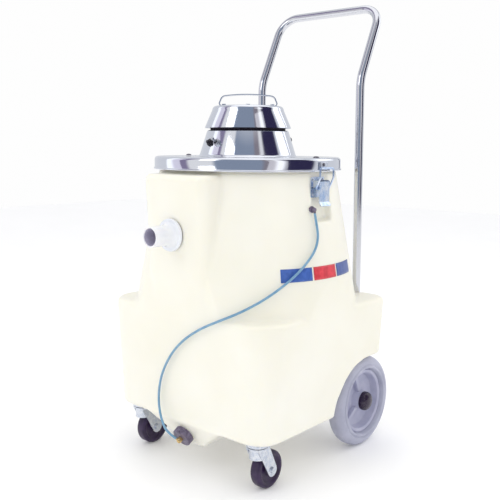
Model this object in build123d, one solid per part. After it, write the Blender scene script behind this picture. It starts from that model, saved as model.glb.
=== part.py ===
from build123d import *
import math
import os

os.makedirs("parts", exist_ok=True)

# Spot extractor: a two-tank moulded body on wheels with a vacuum motor on its lid.
# Sizes are in millimetres. The tank's upright axis is x = 0, y = 0 while the pieces
# are drawn, the floor is z = 0, the front is -Y, and every piece is moved by
# frame_shift at the end so that the origin is the middle of the footprint.

# Moulded body
body_half_width = 232.0
body_front_y = -213.0
body_rear_y = 231.0
front_corner_r = 65.0
rear_corner_r = 40.0
shoulder_z = 342.0
body_bottom_z = 103.5
body_draft = 3.43
bottom_edge_r = 8.0
shoulder_edge_r = 10.0
shoulder_overlap = 14.0
wall = 6.0
cone_top_r = 193.5
cone_top_z = 624.0
cone_flare = 9.87
neck_r = 190.0
neck_z = 648.0
mouth_r = 178.0
nose_half_width = 88.5
nose_corner_r = 24.0
nose_top_z = 620.0
nose_top_r = 10.0
nose_root_y = -90.0
nose_lean = 20.0

# Recess in each side for the draw latch
recess_x = 189.0
recess_half_width = 30.0
recess_floor_z = 527.0

# Sump under the front of the body, and its drain
sump_top_half = 100.0
sump_foot_half = 30.0
sump_foot_z = 52.0
sump_face_y = -199.0
sump_foot_front_y = -168.0
sump_foot_rear_y = -120.0
sump_rear_y = -60.0
drain_z = 83.0
drain_hole_r = 12.0
drain_neck_r = 16.0
drain_neck_length = 12.0
drain_cap_r = 21.5
drain_cap_depth = 14.0
drain_cap_top = 3.0
drain_gasket_t = 3.0
drain_stem_r = 4.0
drain_elbow_r = 5.5
drain_elbow_rise = 5.5
drain_cap_gap = 0.3
drain_fit = 0.05
spigot_reach = 7.5
barb_r = 1.6
barb_length = 7.0
knurls = 24
knurl_r = 1.4

# Wheels, axle and wheel wells
wheel_r = 101.6
wheel_width = 44.0
wheel_outer_x = 206.0
axle_y = 181.0
axle_r = 6.35
axle_overhang = 2.0
well_r = 125.0
well_y = 162.0
well_z = 88.0
well_top_z = 213.0
well_inner_x = 153.0
hub_r = 72.0
hub_bore_clear = 0.05
hub_boss_r = 17.0
hub_boss_out = 3.0
hub_rim = 8.0
hub_lip_inset = 6.0
hub_web_low = -13.0
hub_web_high = -6.0
hub_ribs = 3
hub_rib_width = 9.0
hub_rib_rise = 7.0
hub_cap_r = 21.0
hub_cap_h = 11.0
hub_cap_wall = 2.0
groove_clear = 0.2
tyre_edge = 4.0
tyre_crown_in = 15.0
tyre_shoulder_in = 5.0
tyre_wall_drop = 12.0
tyre_foot_in = 6.0
tyre_foot_rise = 3.0
tyre_bead_r = 2.2
tyre_bead_in = 2.5
tyre_bead_out = 7.0
hub_boss_in = 2.0
hub_cap_seat = 8.0
hub_cap_lean = 6.0
hub_cap_round = 5.0
axle_clamp_x = 128.0
axle_clamp_width = 20.0
axle_clamp_t = 3.0
axle_clamp_reach = 24.0

# Swivel casters
caster_r = 38.1
caster_width = 24.0
caster_x = 170.0
caster_pivot_y = -158.0
caster_trail = 28.0
caster_plate = 52.0
caster_plate_t = 3.0
caster_plate_r = 6.0
caster_head_r = 23.0
caster_head_h = 8.0
caster_pin_r = 6.0
caster_fit = 0.05
caster_gap = 1.0
fork_gap = 1.6
fork_t = 2.8
fork_tip_r = 13.0
fork_crown_half = 19.0
fork_skirt = 24.0
caster_bolt_r = 4.0
caster_bolt_head_r = 7.0
caster_bolt_head_h = 4.0
caster_boss_r = 11.0
caster_web_inner_r = 14.0
caster_web_outer_r = 26.0
caster_rim_r = 29.0
caster_web_inset = 4.0
caster_tread_edge = 5.0
caster_race_round = 3.0
caster_pin_foot = 5.0
fork_corner_r = 3.0
fork_corner_in = 3.0
fork_corner_drop = 4.0

# Push handle of bent tube
handle_half = 146.5
handle_y = 220.5
handle_tube_r = 9.5
handle_wall = 1.6
handle_foot_z = 225.0
handle_kink_z = 830.0
handle_top_y = 302.5
handle_top_z = 1003.5
handle_corner_r = 48.0
handle_kink_r = 90.0
handle_channel_clear = 1.0
handle_clamp_zs = (252.0, 318.0)
handle_clamp_half = 27.0
handle_clamp_height = 22.0
handle_clamp_t = 2.0

# Inlet for the vacuum hose
inlet_z = 500.0
inlet_tip_y = -286.0
inlet_face_y = -228.0
inlet_pad_r = 36.0
inlet_bore_r = 17.0
inlet_tube_r = 20.5
inlet_flange_r = 33.0
inlet_flange_t = 6.0
inlet_cone_length = 13.0
inlet_spigot_r = 21.0
inlet_spigot_reach = 24.0
inlet_gasket_t = 2.0
inlet_clear = 0.5
inlet_nut_r = 31.0
inlet_nut_t = 9.0

# Solution tank: dividing deck and fill opening
deck_z = 318.0
deck_t = 5.0
fill_x = -194.0
fill_y = 191.0
fill_r = 20.0
fill_cap_r = 27.0
fill_cap_h = 13.0
fill_neck_h = 10.0
fill_neck_t = 3.0
fill_clear = 0.4

# Pump bay in the rear wall
bay_half = 112.0
bay_floor_z = 122.0
bay_top_z = 205.0
bay_front_y = 120.0
panel_t = 3.0
panel_lip = 12.0
pump_r = 26.0
pump_length = 78.0
pump_head_side = 44.0
pump_head_length = 42.0
pump_x = -12.0
pump_y = 156.0
pump_port_inset = 16.0
pump_foot_t = 4.0
hose_bend_r = 22.0
pump_z = 160.0
pump_port_r = 6.0
pump_port_reach = 9.0
hose_r = 8.0
hose_fit = 0.05
panel_screw_r = 2.5
panel_screw_head_r = 5.0
panel_screw_head_h = 2.5
panel_screw_length = 7.5
coupling_r = 9.0
coupling_x = 70.0
coupling_z = 160.0
coupling_tip = 26.0
coupling_fit = 0.1
coupling_bore_r = 5.0
switch_x = -62.0
switch_width = 14.0
switch_height = 21.0
switch_depth = 24.0
rocker_tilt = 14.0
rocker_pivot = 2.0
rocker_gap = 0.4
rocker_pin_r = 1.4
rocker_bevel = 1.5
rocker_dip = 1.4
rocker_out = 4.5
rocker_low = 0.5
rocker_end_gap = 2.5
bezel_rim = 2.0
bezel_wall = 1.5
bezel_well = 4.0
switch_case_gap = 0.3

# Lid and its latches
lid_r = 203.7
lid_top_z = 654.5
lid_skirt_z = 626.5
lid_t = 1.6
lid_edge_r = 7.0
lid_bead_r = 3.0
lid_gasket_inner = 180.0
lid_port_r = 26.0
latch_z = 595.0
latch_base_half = 23.0
latch_base_height = 42.0
latch_base_t = 2.0
latch_ear_t = 2.0
latch_pivot_out = 12.0
latch_pivot_rise = 8.0
latch_pin_r = 2.5
latch_throw = 11.0
latch_lever_length = 42.0
latch_lever_half = 17.0
latch_lever_t = 2.0
loop_wire_r = 2.0
loop_bend_r = 4.5
loop_knee_r = 12.0
loop_knee_rise = 22.0
loop_cheek_gap = 4.0
latch_clear = 0.05
latch_corner_r = 4.0
latch_ear_gap = 0.2
latch_ear_out = 2.0
latch_ear_low = 8.0
latch_ear_high = 6.0
latch_ear_round = 3.0
latch_pin_end = 1.0
latch_eye_wall = 2.5
latch_loop_eye_r = 4.5
latch_face_out = 3.0
latch_top_rise = 4.0
latch_tip_turn = -35.0
latch_tip_length = 10.0
latch_tip_root = 0.5
rivet_r = 1.8
rivet_head_r = 3.4
rivet_head_h = 1.6
rivet_depth = 8.0
rivet_inset_y = 6.0
rivet_inset_z = 7.0
loop_hook_gap = 0.8
keeper_z = 634.0
keeper_half = 15.0
keeper_t = 2.0
keeper_hook = 7.0
keeper_lip = 1.5
keeper_drop = 1.0
keeper_top_gap = 3.0

# Motor head
housing_foot_r = 109.5
housing_top_r = 89.0
housing_foot_z = lid_top_z
housing_top_z = 711.0
housing_flare_r = 4.0
housing_t = 2.0
deck_port_r = 47.0
vent_gap = 5.0
cap_foot_r = 94.5
cap_top_r = 77.5
cap_top_z = 764.0
cap_edge_r = 8.0
post_r = 4.0
post_ring = 53.0
bail_turn = 41.0
bail_half = 63.0
bail_width = 18.0
bail_t = 2.4
bail_rise = 27.0
bail_foot = 18.0
bail_crown = 4.0
bail_lean = 5.0
bail_foot_bend_r = 4.0
bail_hip_bend_r = 14.0
bail_top_bend_r = 200.0
cap_screw_length = 14.0
screw_r = 2.2
screw_head_r = 4.5
screw_head_h = 2.6
fan_case_r = 72.0
fan_case_top_z = 704.0
fan_case_t = 2.0
fan_r = 62.0
fan_clear = 5.0
eye_r = 24.0
stator_r = 44.0
stator_top_z = 754.0
stator_t = 5.0
armature_r = 24.0
shaft_r = 5.0
shaft_end = 5.0
fan_outlets = 6
fan_outlet_width = 16.0
fan_outlet_height = 14.0
fan_case_round = 4.0
fan_blades = 9
fan_blade_t = 1.6
fan_blade_h = 16.0
fan_blade_turn = 25.0
fan_plate_t = 2.0
fan_hub_r = 18.0
fan_gap = 4.0
stator_windows = 4
stator_window_width = 22.0
stator_window_height = 16.0
stator_window_drop = 14.0
stator_cap_t = 3.0
armature_gap = 6.0
commutator_inset = 9.0
commutator_low = 16.0
commutator_high = 4.0
cut_depth = 20.0
bearing_clear = 0.05

# Controls on the motor head
control_z = 684.0
toggle_turn = -90.0
breaker_turn = -104.0
toggle_r = 6.0
toggle_nut_r = 8.5
toggle_nut_t = 3.0
toggle_body = 18.0
toggle_lever_r = 2.6
toggle_lever_length = 15.0
toggle_ball_r = 3.6
toggle_tilt = -13.0
toggle_pin_r = 1.0
breaker_r = 7.0
breaker_button_r = 3.2
breaker_stroke = 3.0
breaker_clear = 0.3
gland_turn = 80.0
gland_r = 8.0
gland_length = 24.0
gland_bore_r = 4.2
gland_nut_out = 3.0
gland_nut_t = 5.0
gland_depth = 8.0
gland_lip = 1.8
breaker_nut_out = 1.5
breaker_nut_t = 3.0
breaker_bush_h = 5.0
breaker_depth = 22.0
breaker_well = 6.0
breaker_button_top = 9.0
breaker_button_gap = 0.5
toggle_bush_inner = 4.0
toggle_bush_out = 3.0
toggle_mouth_clear = 0.3
toggle_mouth_rim = 0.8
toggle_pivot_rise = 1.5
toggle_taper = 0.8

# Float shut-off under the lid
cage_r = 36.0
cage_t = 2.5
cage_bottom_z = 560.0
cage_slots = 8
cage_slot_width = 12.0
float_r = 21.0
cage_hole_r = 8.0
cage_flange = 10.0
cage_flange_t = 3.0
cage_seat = 12.0
cage_seat_t = 5.0
cage_slot_margin = 14.0
float_z = 590.0

# Level tube on the outside of the body
tube_r = 2.5
tube_wall = 0.7
tube_fit_turn = -10.2
tube_fit_z = 552.0
tube_fit_out = 8.5
tube_fit_r = 4.5
tube_nut_r = 7.0
tube_fit_drop = 7.0
tube_route = [
    (215, -35.5, 525), (220, -35, 498), (223, -48, 473), (221, -72, 450),
    (213, -102, 425), (200, -135, 402), (182, -166, 381), (154, -196, 360), (122, -221, 343),
    (92, -224, 329), (62, -221, 313), (28, -218, 292), (-3, -217, 265), (-28, -216, 233),
    (-47, -214, 199), (-57, -212, 165), (-56, -213, 134), (-40, -220, 108), (-19, -223.5, 87)]
cord_radius_share = 0.45

frame_shift = Vector(0, -(handle_top_y + handle_tube_r + inlet_tip_y) / 2, 0)


def save(shape, name):
    solids = shape if isinstance(shape, list) else [shape]
    export_step(Compound(children=[Pos(frame_shift) * s for s in solids]), "parts/" + name + ".step")


def disc(radius, low, high):
    """Upright cylinder about the origin between two heights."""
    return Pos(0, 0, (low + high) / 2) * Cylinder(radius, high - low)


def ring(outer, inner, low, high):
    return disc(outer, low, high) - disc(inner, low - 1, high + 1)


def block(x0, x1, y0, y1, z0, z1):
    return Pos((x0 + x1) / 2, (y0 + y1) / 2, (z0 + z1) / 2) * Box(x1 - x0, y1 - y0, z1 - z0)


def turned(points):
    """Solid of revolution about Z from a closed outline of (radius, height)."""
    return revolve(Plane.XZ * make_face(Polyline(*points, close=True)), Axis.Z)


def facing(x, y, z, nx, ny, nz):
    """Place at a point with local Z along the outward direction."""
    return Plane(origin=(x, y, z), z_dir=(nx, ny, nz)).location


def on_panel(x, z):
    """Place on the bay cover's plane with Z towards the rear and X kept."""
    return Plane(origin=(x, body_rear_y, z), x_dir=(1, 0, 0), z_dir=(0, 1, 0)).location


def cone_radius(z):
    return cone_top_r + math.tan(math.radians(cone_flare)) * (cone_top_z - z)


# ---------------------------------------------------------------- moulded body
def plan_outline(inset):
    low = body_front_y + inset
    high = body_rear_y - inset
    outline = Pos(0, (low + high) / 2) * Rectangle(2 * (body_half_width - inset), high - low)
    outline = fillet(outline.vertices().sort_by(Axis.Y)[:2], front_corner_r - inset)
    return fillet(outline.vertices().sort_by(Axis.Y)[-2:], rear_corner_r - inset)


def base_form(inset):
    top = shoulder_z - inset
    height = top - body_bottom_z - inset
    form = extrude(Pos(0, 0, top) * plan_outline(inset), height, dir=(0, 0, -1), taper=body_draft)
    if inset == 0:
        form = fillet(form.edges().group_by(Axis.Z)[0], bottom_edge_r)
        form = fillet(form.edges().group_by(Axis.Z)[-1], shoulder_edge_r)
    return form


def nose_face_y(z):
    """Front face of the nose, which leans forward towards the lid."""
    return body_front_y - nose_lean * (z - shoulder_z) / (nose_top_z - shoulder_z)


def nose_form(inset, foot):
    top = nose_top_z - inset
    side = Polyline((nose_root_y, foot), (nose_face_y(foot) + inset, foot),
                    (nose_face_y(top) + inset, top), (nose_root_y, top), close=True)
    nose = extrude(Plane.YZ * make_face(side), nose_half_width - inset, both=True)
    front = nose.faces().sort_by(Axis.Y)[0]
    corners = [e for e in front.edges() if abs((e @ 1).Z - (e @ 0).Z) > 1]
    nose = fillet(corners, nose_corner_r - inset)
    if inset == 0:
        rim = nose.edges().group_by(Axis.Z)[-1].sort_by(Axis.Y)[:-1]
        nose = fillet(rim, nose_top_r)
    return nose


def upper_form(inset):
    foot = shoulder_z - (shoulder_overlap if inset == 0 else inset)
    top = cone_top_z
    cone = Pos(0, 0, (foot + top) / 2) * Cone(
        cone_radius(foot) - inset, cone_radius(top) - inset, top - foot)
    outline = extrude(Pos(0, 0, foot) * plan_outline(inset), top - foot)
    body = cone & outline
    return body + nose_form(inset, foot)


def sump_form(inset):
    lift = body_bottom_z + wall + 1
    face_run = (sump_foot_front_y - sump_face_y) / (body_bottom_z - sump_foot_z)
    rear_run = (sump_rear_y - sump_foot_rear_y) / (body_bottom_z - sump_foot_z)
    side_run = (sump_top_half - sump_foot_half) / (body_bottom_z - sump_foot_z)
    foot = sump_foot_z + inset
    rise = lift - foot
    skin = inset * math.hypot(1, face_run)
    front_foot = sump_foot_front_y - face_run * inset + skin
    rear_foot = sump_foot_rear_y + rear_run * inset - inset * math.hypot(1, rear_run)
    half_foot = sump_foot_half + side_run * inset - inset * math.hypot(1, side_run)
    side = Polyline((front_foot, foot), (rear_foot, foot), (rear_foot + rear_run * rise, lift),
                    (front_foot - face_run * rise, lift), close=True)
    front = Polyline((-half_foot, foot), (half_foot, foot), (half_foot + side_run * rise, lift),
                     (-half_foot - side_run * rise, lift), close=True)
    long = extrude(Plane.YZ * make_face(side), 2 * sump_top_half, both=True)
    cross = extrude(Plane.XZ * make_face(front), 400, both=True)
    return long & cross


def wheel_wells(grow):
    wells = []
    for side in (-1, 1):
        inner = well_inner_x - grow
        outer = body_half_width + 20
        middle = side * (inner + outer) / 2
        arch = Pos(middle, well_y, well_z) * Rot(0, 90, 0) * Cylinder(well_r + grow, outer - inner)
        tail = Pos(middle, well_y + 100, (well_top_z + grow) / 2) * Box(
            outer - inner, 200, well_top_z + grow)
        lid = Pos(middle, well_y, well_top_z + grow + 100) * Box(outer - inner + 2, 600, 200)
        wells.append((arch + tail) - lid)
    return wells


def handle_channels(grow):
    cuts = []
    for side in (-1, 1):
        radius = handle_tube_r + handle_channel_clear + grow
        low = handle_foot_z - grow
        groove = Pos(side * handle_half, handle_y, 0) * disc(radius, low, cone_top_z)
        mouth = block(side * handle_half - radius, side * handle_half + radius,
                      handle_y, body_rear_y + 30, low, cone_top_z)
        cuts.append(groove + mouth)
    return cuts


def latch_recesses(grow):
    cuts = []
    for side in (-1, 1):
        near = side * (recess_x - grow)
        far = side * (body_half_width + 20)
        cuts.append(block(min(near, far), max(near, far), -recess_half_width - grow,
                          recess_half_width + grow, recess_floor_z - grow, cone_top_z + 30))
    return cuts


def pump_bay(grow):
    return block(-bay_half - grow, bay_half + grow, bay_front_y - grow, body_rear_y + 20,
                 bay_floor_z - grow, bay_top_z + grow)


def tank_form(inset):
    form = base_form(inset) + upper_form(inset) + sump_form(inset)
    for cut in wheel_wells(inset) + handle_channels(inset) + latch_recesses(inset):
        form -= cut
    return form - pump_bay(inset)


drain_face_y = sump_face_y + (body_bottom_z - drain_z) * (
    (sump_foot_front_y - sump_face_y) / (body_bottom_z - sump_foot_z))
drain_tilt = math.atan2(sump_foot_front_y - sump_face_y, body_bottom_z - sump_foot_z)
drain_dir = (0, -math.cos(drain_tilt), -math.sin(drain_tilt))
drain_place = facing(0, drain_face_y, drain_z, *drain_dir)
inlet_place = facing(0, inlet_face_y, inlet_z, 0, -1, 0)
inlet_reach = inlet_face_y - inlet_tip_y
tank_core = tank_form(wall)


def make_tank_body():
    neck = disc(neck_r, cone_top_z - 8, neck_z)
    body = tank_form(0) + neck - tank_core
    body -= disc(mouth_r, cone_top_z - wall - 4, neck_z + 1)
    axle_cut = Pos(0, axle_y, wheel_r) * Rot(0, 90, 0) * Cylinder(
        axle_r + groove_clear, 2 * body_half_width + 40)
    body -= axle_cut
    body -= block(-well_inner_x, well_inner_x, axle_y - axle_r - groove_clear,
                  axle_y + axle_r + groove_clear, body_bottom_z - 30, wheel_r)
    pad = inlet_place * disc(inlet_pad_r, -wall, 0)
    body += pad - tank_core
    body -= inlet_place * disc(inlet_spigot_r + inlet_clear, -inlet_spigot_reach, 1)
    body += drain_place * ring(drain_neck_r, drain_hole_r, -2, drain_neck_length)
    body -= drain_place * disc(drain_hole_r, -wall * 2, drain_neck_length + 1)
    fill_neck = ring(fill_r + fill_neck_t, fill_r, deck_z, shoulder_z + fill_neck_h)
    body += Pos(fill_x, fill_y, 0) * fill_neck
    body -= Pos(fill_x, fill_y, 0) * disc(fill_r, deck_z - 1, shoulder_z + fill_neck_h + 1)
    return body


tank_body = make_tank_body()


def make_deck():
    slab = block(-body_half_width, body_half_width, body_front_y, body_rear_y,
                 deck_z, deck_z + deck_t)
    hole = disc(fill_r + fill_neck_t, deck_z - 1, deck_z + deck_t + 1)
    return (tank_core & slab) - Pos(fill_x, fill_y, 0) * hole


save(make_deck(), "tank_divider")


# ---------------------------------------------------------------- hose inlet
def make_inlet():
    flange_top = inlet_gasket_t + inlet_flange_t
    outline = [
        (inlet_bore_r, -inlet_spigot_reach), (inlet_spigot_r, -inlet_spigot_reach),
        (inlet_spigot_r, inlet_gasket_t), (inlet_flange_r, inlet_gasket_t),
        (inlet_flange_r, flange_top - 2), (inlet_flange_r - 2, flange_top),
        (inlet_tube_r + 6, flange_top), (inlet_tube_r, flange_top + inlet_cone_length),
        (inlet_tube_r, inlet_reach - 1), (inlet_tube_r - 1, inlet_reach), (inlet_bore_r, inlet_reach)]
    return inlet_place * turned(outline)


save(make_inlet(), "inlet_fitting")
inlet_gasket = inlet_place * ring(inlet_flange_r - 1, inlet_spigot_r, 0, inlet_gasket_t)
inlet_nut_z = -inlet_spigot_reach
inlet_nut = extrude(Pos(0, 0, inlet_nut_z) * RegularPolygon(inlet_nut_r, 6), inlet_nut_t)
inlet_nut -= disc(inlet_spigot_r, inlet_nut_z - 1, 0)
save(inlet_place * inlet_nut, "inlet_locknut")


# ---------------------------------------------------------------- drain and level tube
def make_drain_cap():
    low = drain_neck_length + drain_gasket_t - drain_cap_depth + drain_cap_top
    high = drain_neck_length + drain_gasket_t + drain_cap_top
    cap = disc(drain_cap_r, low, high)
    cap = fillet(cap.edges().group_by(Axis.Z)[-1], 2)
    cap -= disc(drain_neck_r + 0.4, low - 1, high - drain_cap_top)
    cap -= disc(drain_stem_r + drain_fit, low, high + 1)
    for k in range(knurls):
        groove = Pos(drain_cap_r + 0.6, 0, low) * Cylinder(knurl_r, 2 * drain_cap_depth)
        cap -= Rot(0, 0, 360 * k / knurls) * groove
    return drain_place * cap


drain_cap_face = drain_neck_length + drain_gasket_t + drain_cap_top
save(make_drain_cap(), "drain_cap")
drain_gasket = drain_place * ring(drain_neck_r, drain_stem_r + drain_cap_gap, drain_neck_length,
                                  drain_neck_length + drain_gasket_t - drain_cap_gap)
save([inlet_gasket, drain_gasket], "body_gaskets")


drain_elbow_centre = (drain_place * Pos(
    0, 0, drain_cap_face + drain_cap_gap + drain_elbow_rise)).position


tube_end_dir = (Vector(*tube_route[-1]) - drain_elbow_centre).normalized()


def make_drain_elbow():
    """Swivel elbow through the middle of the cap, with a hose barb that points up."""
    bend = drain_cap_face + drain_cap_gap + drain_elbow_rise
    stem = disc(drain_stem_r, drain_neck_length - wall, bend)
    collar = disc(drain_elbow_r, drain_cap_face + drain_cap_gap, bend)
    base = drain_place * (stem + collar + Pos(0, 0, bend) * Sphere(drain_elbow_r))
    outlet = Plane(origin=drain_elbow_centre, z_dir=tube_end_dir).location
    return base + outlet * (disc(tube_r, 0, spigot_reach) + disc(barb_r, 0, spigot_reach + barb_length))


save(make_drain_elbow(), "drain_elbow")

tube_fit_place = Rot(0, 0, tube_fit_turn)
tube_fit_radius = cone_radius(tube_fit_z) + tube_fit_out
tube_start = (tube_fit_place * Pos(tube_fit_radius, 0, tube_fit_z)).position
tube_start_dir = (Vector(*tube_route[0]) - tube_start).normalized()


def make_tube_fitting():
    """Elbow through the body's side beside the right latch, with a barb that points down."""
    skin = cone_radius(tube_fit_z)
    root = skin - wall - 4
    stem = facing(root, 0, tube_fit_z, 1, 0, 0) * disc(tube_fit_r - 1, 0, tube_fit_radius - root)
    nut = facing(skin - 1, 0, tube_fit_z, 1, 0, 0) * extrude(RegularPolygon(tube_nut_r, 6), 5)
    ball = Pos(tube_fit_radius, 0, tube_fit_z) * Sphere(tube_fit_r)
    outlet = Plane(origin=tube_start, z_dir=tube_start_dir).location
    spigot = outlet * (disc(tube_r, 0, tube_fit_drop) + disc(barb_r, 0, tube_fit_drop + barb_length))
    return tube_fit_place * (stem + nut + ball) + spigot


tube_fitting = make_tube_fitting()
save(tube_fitting, "tube_fitting")


def make_level_tube():
    start = tube_start + tube_start_dir * tube_fit_drop
    end = drain_elbow_centre + tube_end_dir * spigot_reach
    points = [start] + [Vector(*p) for p in tube_route] + [end]
    radii = []
    for before, corner, after in zip(points, points[1:], points[2:]):
        run_in = corner - before
        run_out = after - corner
        half_turn = math.radians(run_in.get_angle(run_out)) / 2
        shorter = min(run_in.length, run_out.length)
        radii.append(cord_radius_share * shorter / math.tan(half_turn))
    path = FilletPolyline(*points, radius=radii)
    section = Plane(origin=path @ 0, z_dir=path % 0) * (Circle(tube_r) - Circle(tube_r - tube_wall))
    tube = sweep(section, path=path)
    area = math.pi * (tube_r ** 2 - (tube_r - tube_wall) ** 2)
    print("level tube length", round(path.length, 1), "volume ratio", tube.volume / (area * path.length))
    print("level tube smallest radius", round(min(radii), 1))
    return tube


save(make_level_tube(), "level_tube")


# ---------------------------------------------------------------- fill opening
fill_top = shoulder_z + fill_neck_h


def make_fill_cap():
    low = fill_top - fill_cap_h + 5
    cap = disc(fill_cap_r, low, fill_top + 5)
    cap = fillet(cap.edges().group_by(Axis.Z)[-1], 2.5)
    cap -= disc(fill_r + 3 + fill_clear, low - 1, fill_top)
    for k in range(knurls):
        groove = Pos(fill_cap_r + 0.6, 0, fill_top) * Cylinder(knurl_r, 2 * fill_cap_h)
        cap -= Rot(0, 0, 360 * k / knurls) * groove
    return Pos(fill_x, fill_y, 0) * cap


save(make_fill_cap(), "fill_cap")


# ---------------------------------------------------------------- pump bay
def make_service_panel():
    low = bay_floor_z - panel_lip
    high = bay_top_z + panel_lip
    panel = block(-bay_half - panel_lip, bay_half + panel_lip, body_rear_y, body_rear_y + panel_t,
                  low, high)
    panel = fillet(panel.edges().filter_by(Axis.Y), panel_lip)
    port = Pos(coupling_x, body_rear_y, coupling_z) * Rot(90, 0, 0) * Cylinder(coupling_r, 20)
    slot = block(switch_x - switch_width / 2, switch_x + switch_width / 2, body_rear_y - 1,
                 body_rear_y + panel_t + 1, pump_z - switch_height / 2, pump_z + switch_height / 2)
    return panel - port - slot - Compound(children=body_screws)


def pan_screw(radius, head_r, head_h, length):
    """Pan-head screw with its head above z = 0 and a crossed recess."""
    head = disc(head_r, 0, head_h)
    head = fillet(head.edges().group_by(Axis.Z)[-1], 0.45 * head_h)
    screw = head + disc(radius, -length, 0)
    screw -= Pos(0, 0, head_h) * Box(1.2 * head_r, 0.22 * head_r, 0.8 * head_h)
    return screw - Pos(0, 0, head_h) * Box(0.22 * head_r, 1.2 * head_r, 0.8 * head_h)


def make_body_screws():
    """Screws of the pump bay cover, the handle clamps and the axle clamps."""
    screw = pan_screw(panel_screw_r, panel_screw_head_r, panel_screw_head_h, panel_screw_length)
    screws = []
    for x in (-bay_half - panel_lip / 2, bay_half + panel_lip / 2):
        for z in (bay_floor_z, bay_top_z):
            screws.append(facing(x, body_rear_y + panel_t, z, 0, 1, 0) * screw)
    for side in (-1, 1):
        for z in handle_clamp_zs:
            for offset in (-1, 1):
                x = side * handle_half + offset * (handle_clamp_half - 6)
                y = body_rear_y + handle_clamp_t
                screws.append(facing(x, y, z, 0, 1, 0) * screw)
        for offset in (-1, 1):
            y = axle_y + offset * (axle_clamp_reach - 8)
            z = body_bottom_z - axle_clamp_t
            screws.append(facing(side * axle_clamp_x, y, z, 0, 0, -1) * screw)
    return screws


body_screws = make_body_screws()
save(body_screws, "body_screws")
save(make_service_panel(), "service_panel")


port_x = pump_x + pump_head_length - pump_port_inset


def make_pump():
    """Diaphragm pump lying across the bay: a round motor and a square head with two ports."""
    join = pump_x
    motor = Pos(join - pump_length / 2, pump_y, pump_z) * Rot(0, 90, 0) * Cylinder(pump_r, pump_length)
    motor = chamfer(motor.edges().group_by(Axis.X)[0], 2)
    head = block(join, join + pump_head_length, pump_y - pump_head_side / 2,
                 pump_y + pump_head_side / 2, pump_z - pump_head_side / 2, pump_z + pump_head_side / 2)
    head = fillet(head.edges().filter_by(Axis.X), 5)
    top = pump_z + pump_head_side / 2
    head += Pos(port_x, pump_y, 0) * disc(pump_port_r, top, top + pump_port_reach)
    head += Pos(join + pump_head_length, pump_y, pump_z) * Rot(0, 90, 0) * disc(
        pump_port_r, 0, pump_port_reach)
    head += block(pump_x, pump_x + pump_head_length, pump_y - 12, pump_y + 12, bay_floor_z,
                  pump_z - pump_head_side / 2)
    head += block(pump_x, pump_x + pump_head_length, pump_y - pump_head_side / 2,
                  pump_y + pump_head_side / 2, bay_floor_z, bay_floor_z + pump_foot_t)
    return motor, head


pump_motor, pump_head = make_pump()
save(pump_motor, "pump_motor")
save(pump_head, "pump_head")


def make_pump_hoses():
    """Short suction hose up to the tank floor, and an elbow hose to the quick connector."""
    tube = Circle(hose_r) - Circle(pump_port_r + hose_fit)
    low = pump_z + pump_head_side / 2
    rise = extrude(Pos(port_x, pump_y, low) * tube, bay_top_z - low)
    start_x = pump_x + pump_head_length
    path = FilletPolyline((start_x, pump_y, coupling_z), (coupling_x, pump_y, coupling_z),
                          (coupling_x, body_rear_y - coupling_tip, coupling_z), radius=hose_bend_r)
    bend = sweep(Plane(origin=path @ 0, z_dir=path % 0) * tube, path=path)
    return [rise, bend]


save(make_pump_hoses(), "pump_hoses")


def make_coupling():
    """Quick connector for the solution hose, fixed through the bay cover."""
    low = -coupling_tip
    body = disc(coupling_r - coupling_fit, low, panel_t + 10)
    flange = disc(coupling_r + 5, panel_t, panel_t + 3)
    tail = disc(pump_port_r, low - pump_port_reach, low)
    collar = disc(coupling_r + 2, panel_t + 10, coupling_tip)
    collar = chamfer(collar.edges().group_by(Axis.Z)[-1], 1)
    nut = extrude(Pos(0, 0, -8) * RegularPolygon(coupling_r + 5, 6), 8)
    bore = disc(coupling_bore_r, 0, coupling_tip + 1)
    part = body + flange + tail + collar + (nut - disc(coupling_r - 1, -9, 1)) - bore
    return facing(coupling_x, body_rear_y, coupling_z, 0, 1, 0) * part


save(make_coupling(), "solution_coupling")


def make_pump_switch():
    """Rocker switch body in the bay cover: a bezel with a pocket for the rocker."""
    half_w = switch_width / 2
    half_h = switch_height / 2
    gap = switch_case_gap
    rim = bezel_wall
    bezel = block(-half_w - bezel_rim, half_w + bezel_rim, -half_h - bezel_rim, half_h + bezel_rim,
                  panel_t, panel_t + bezel_rim)
    case = block(-half_w + gap, half_w - gap, -half_h + gap, half_h - gap, -switch_depth, panel_t)
    pocket = block(-half_w + rim, half_w - rim, -half_h + rim, half_h - rim, -bezel_well,
                   panel_t + bezel_rim + 1)
    return on_panel(switch_x, pump_z) * (bezel + case - pocket)


def make_pump_rocker():
    half_w = switch_width / 2 - bezel_wall - rocker_gap
    half_h = switch_height / 2 - bezel_wall - rocker_end_gap
    face = panel_t + rocker_out
    side = Polyline((-half_h, face), (0, face - rocker_dip), (half_h, face),
                    (half_h - rocker_bevel, rocker_low), (-half_h + rocker_bevel, rocker_low),
                    close=True)
    rocker = extrude(Plane.YZ * make_face(side), half_w, both=True)
    rocker += Pos(0, 0, rocker_pivot) * Rot(0, 90, 0) * Cylinder(rocker_pin_r, 2 * half_w + rocker_gap)
    return on_panel(switch_x, pump_z) * Pos(0, 0, rocker_pivot) * Rot(-rocker_tilt / 2, 0, 0) * Pos(
        0, 0, -rocker_pivot) * rocker


save(make_pump_switch(), "pump_switch")
save(make_pump_rocker(), "pump_rocker")


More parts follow.
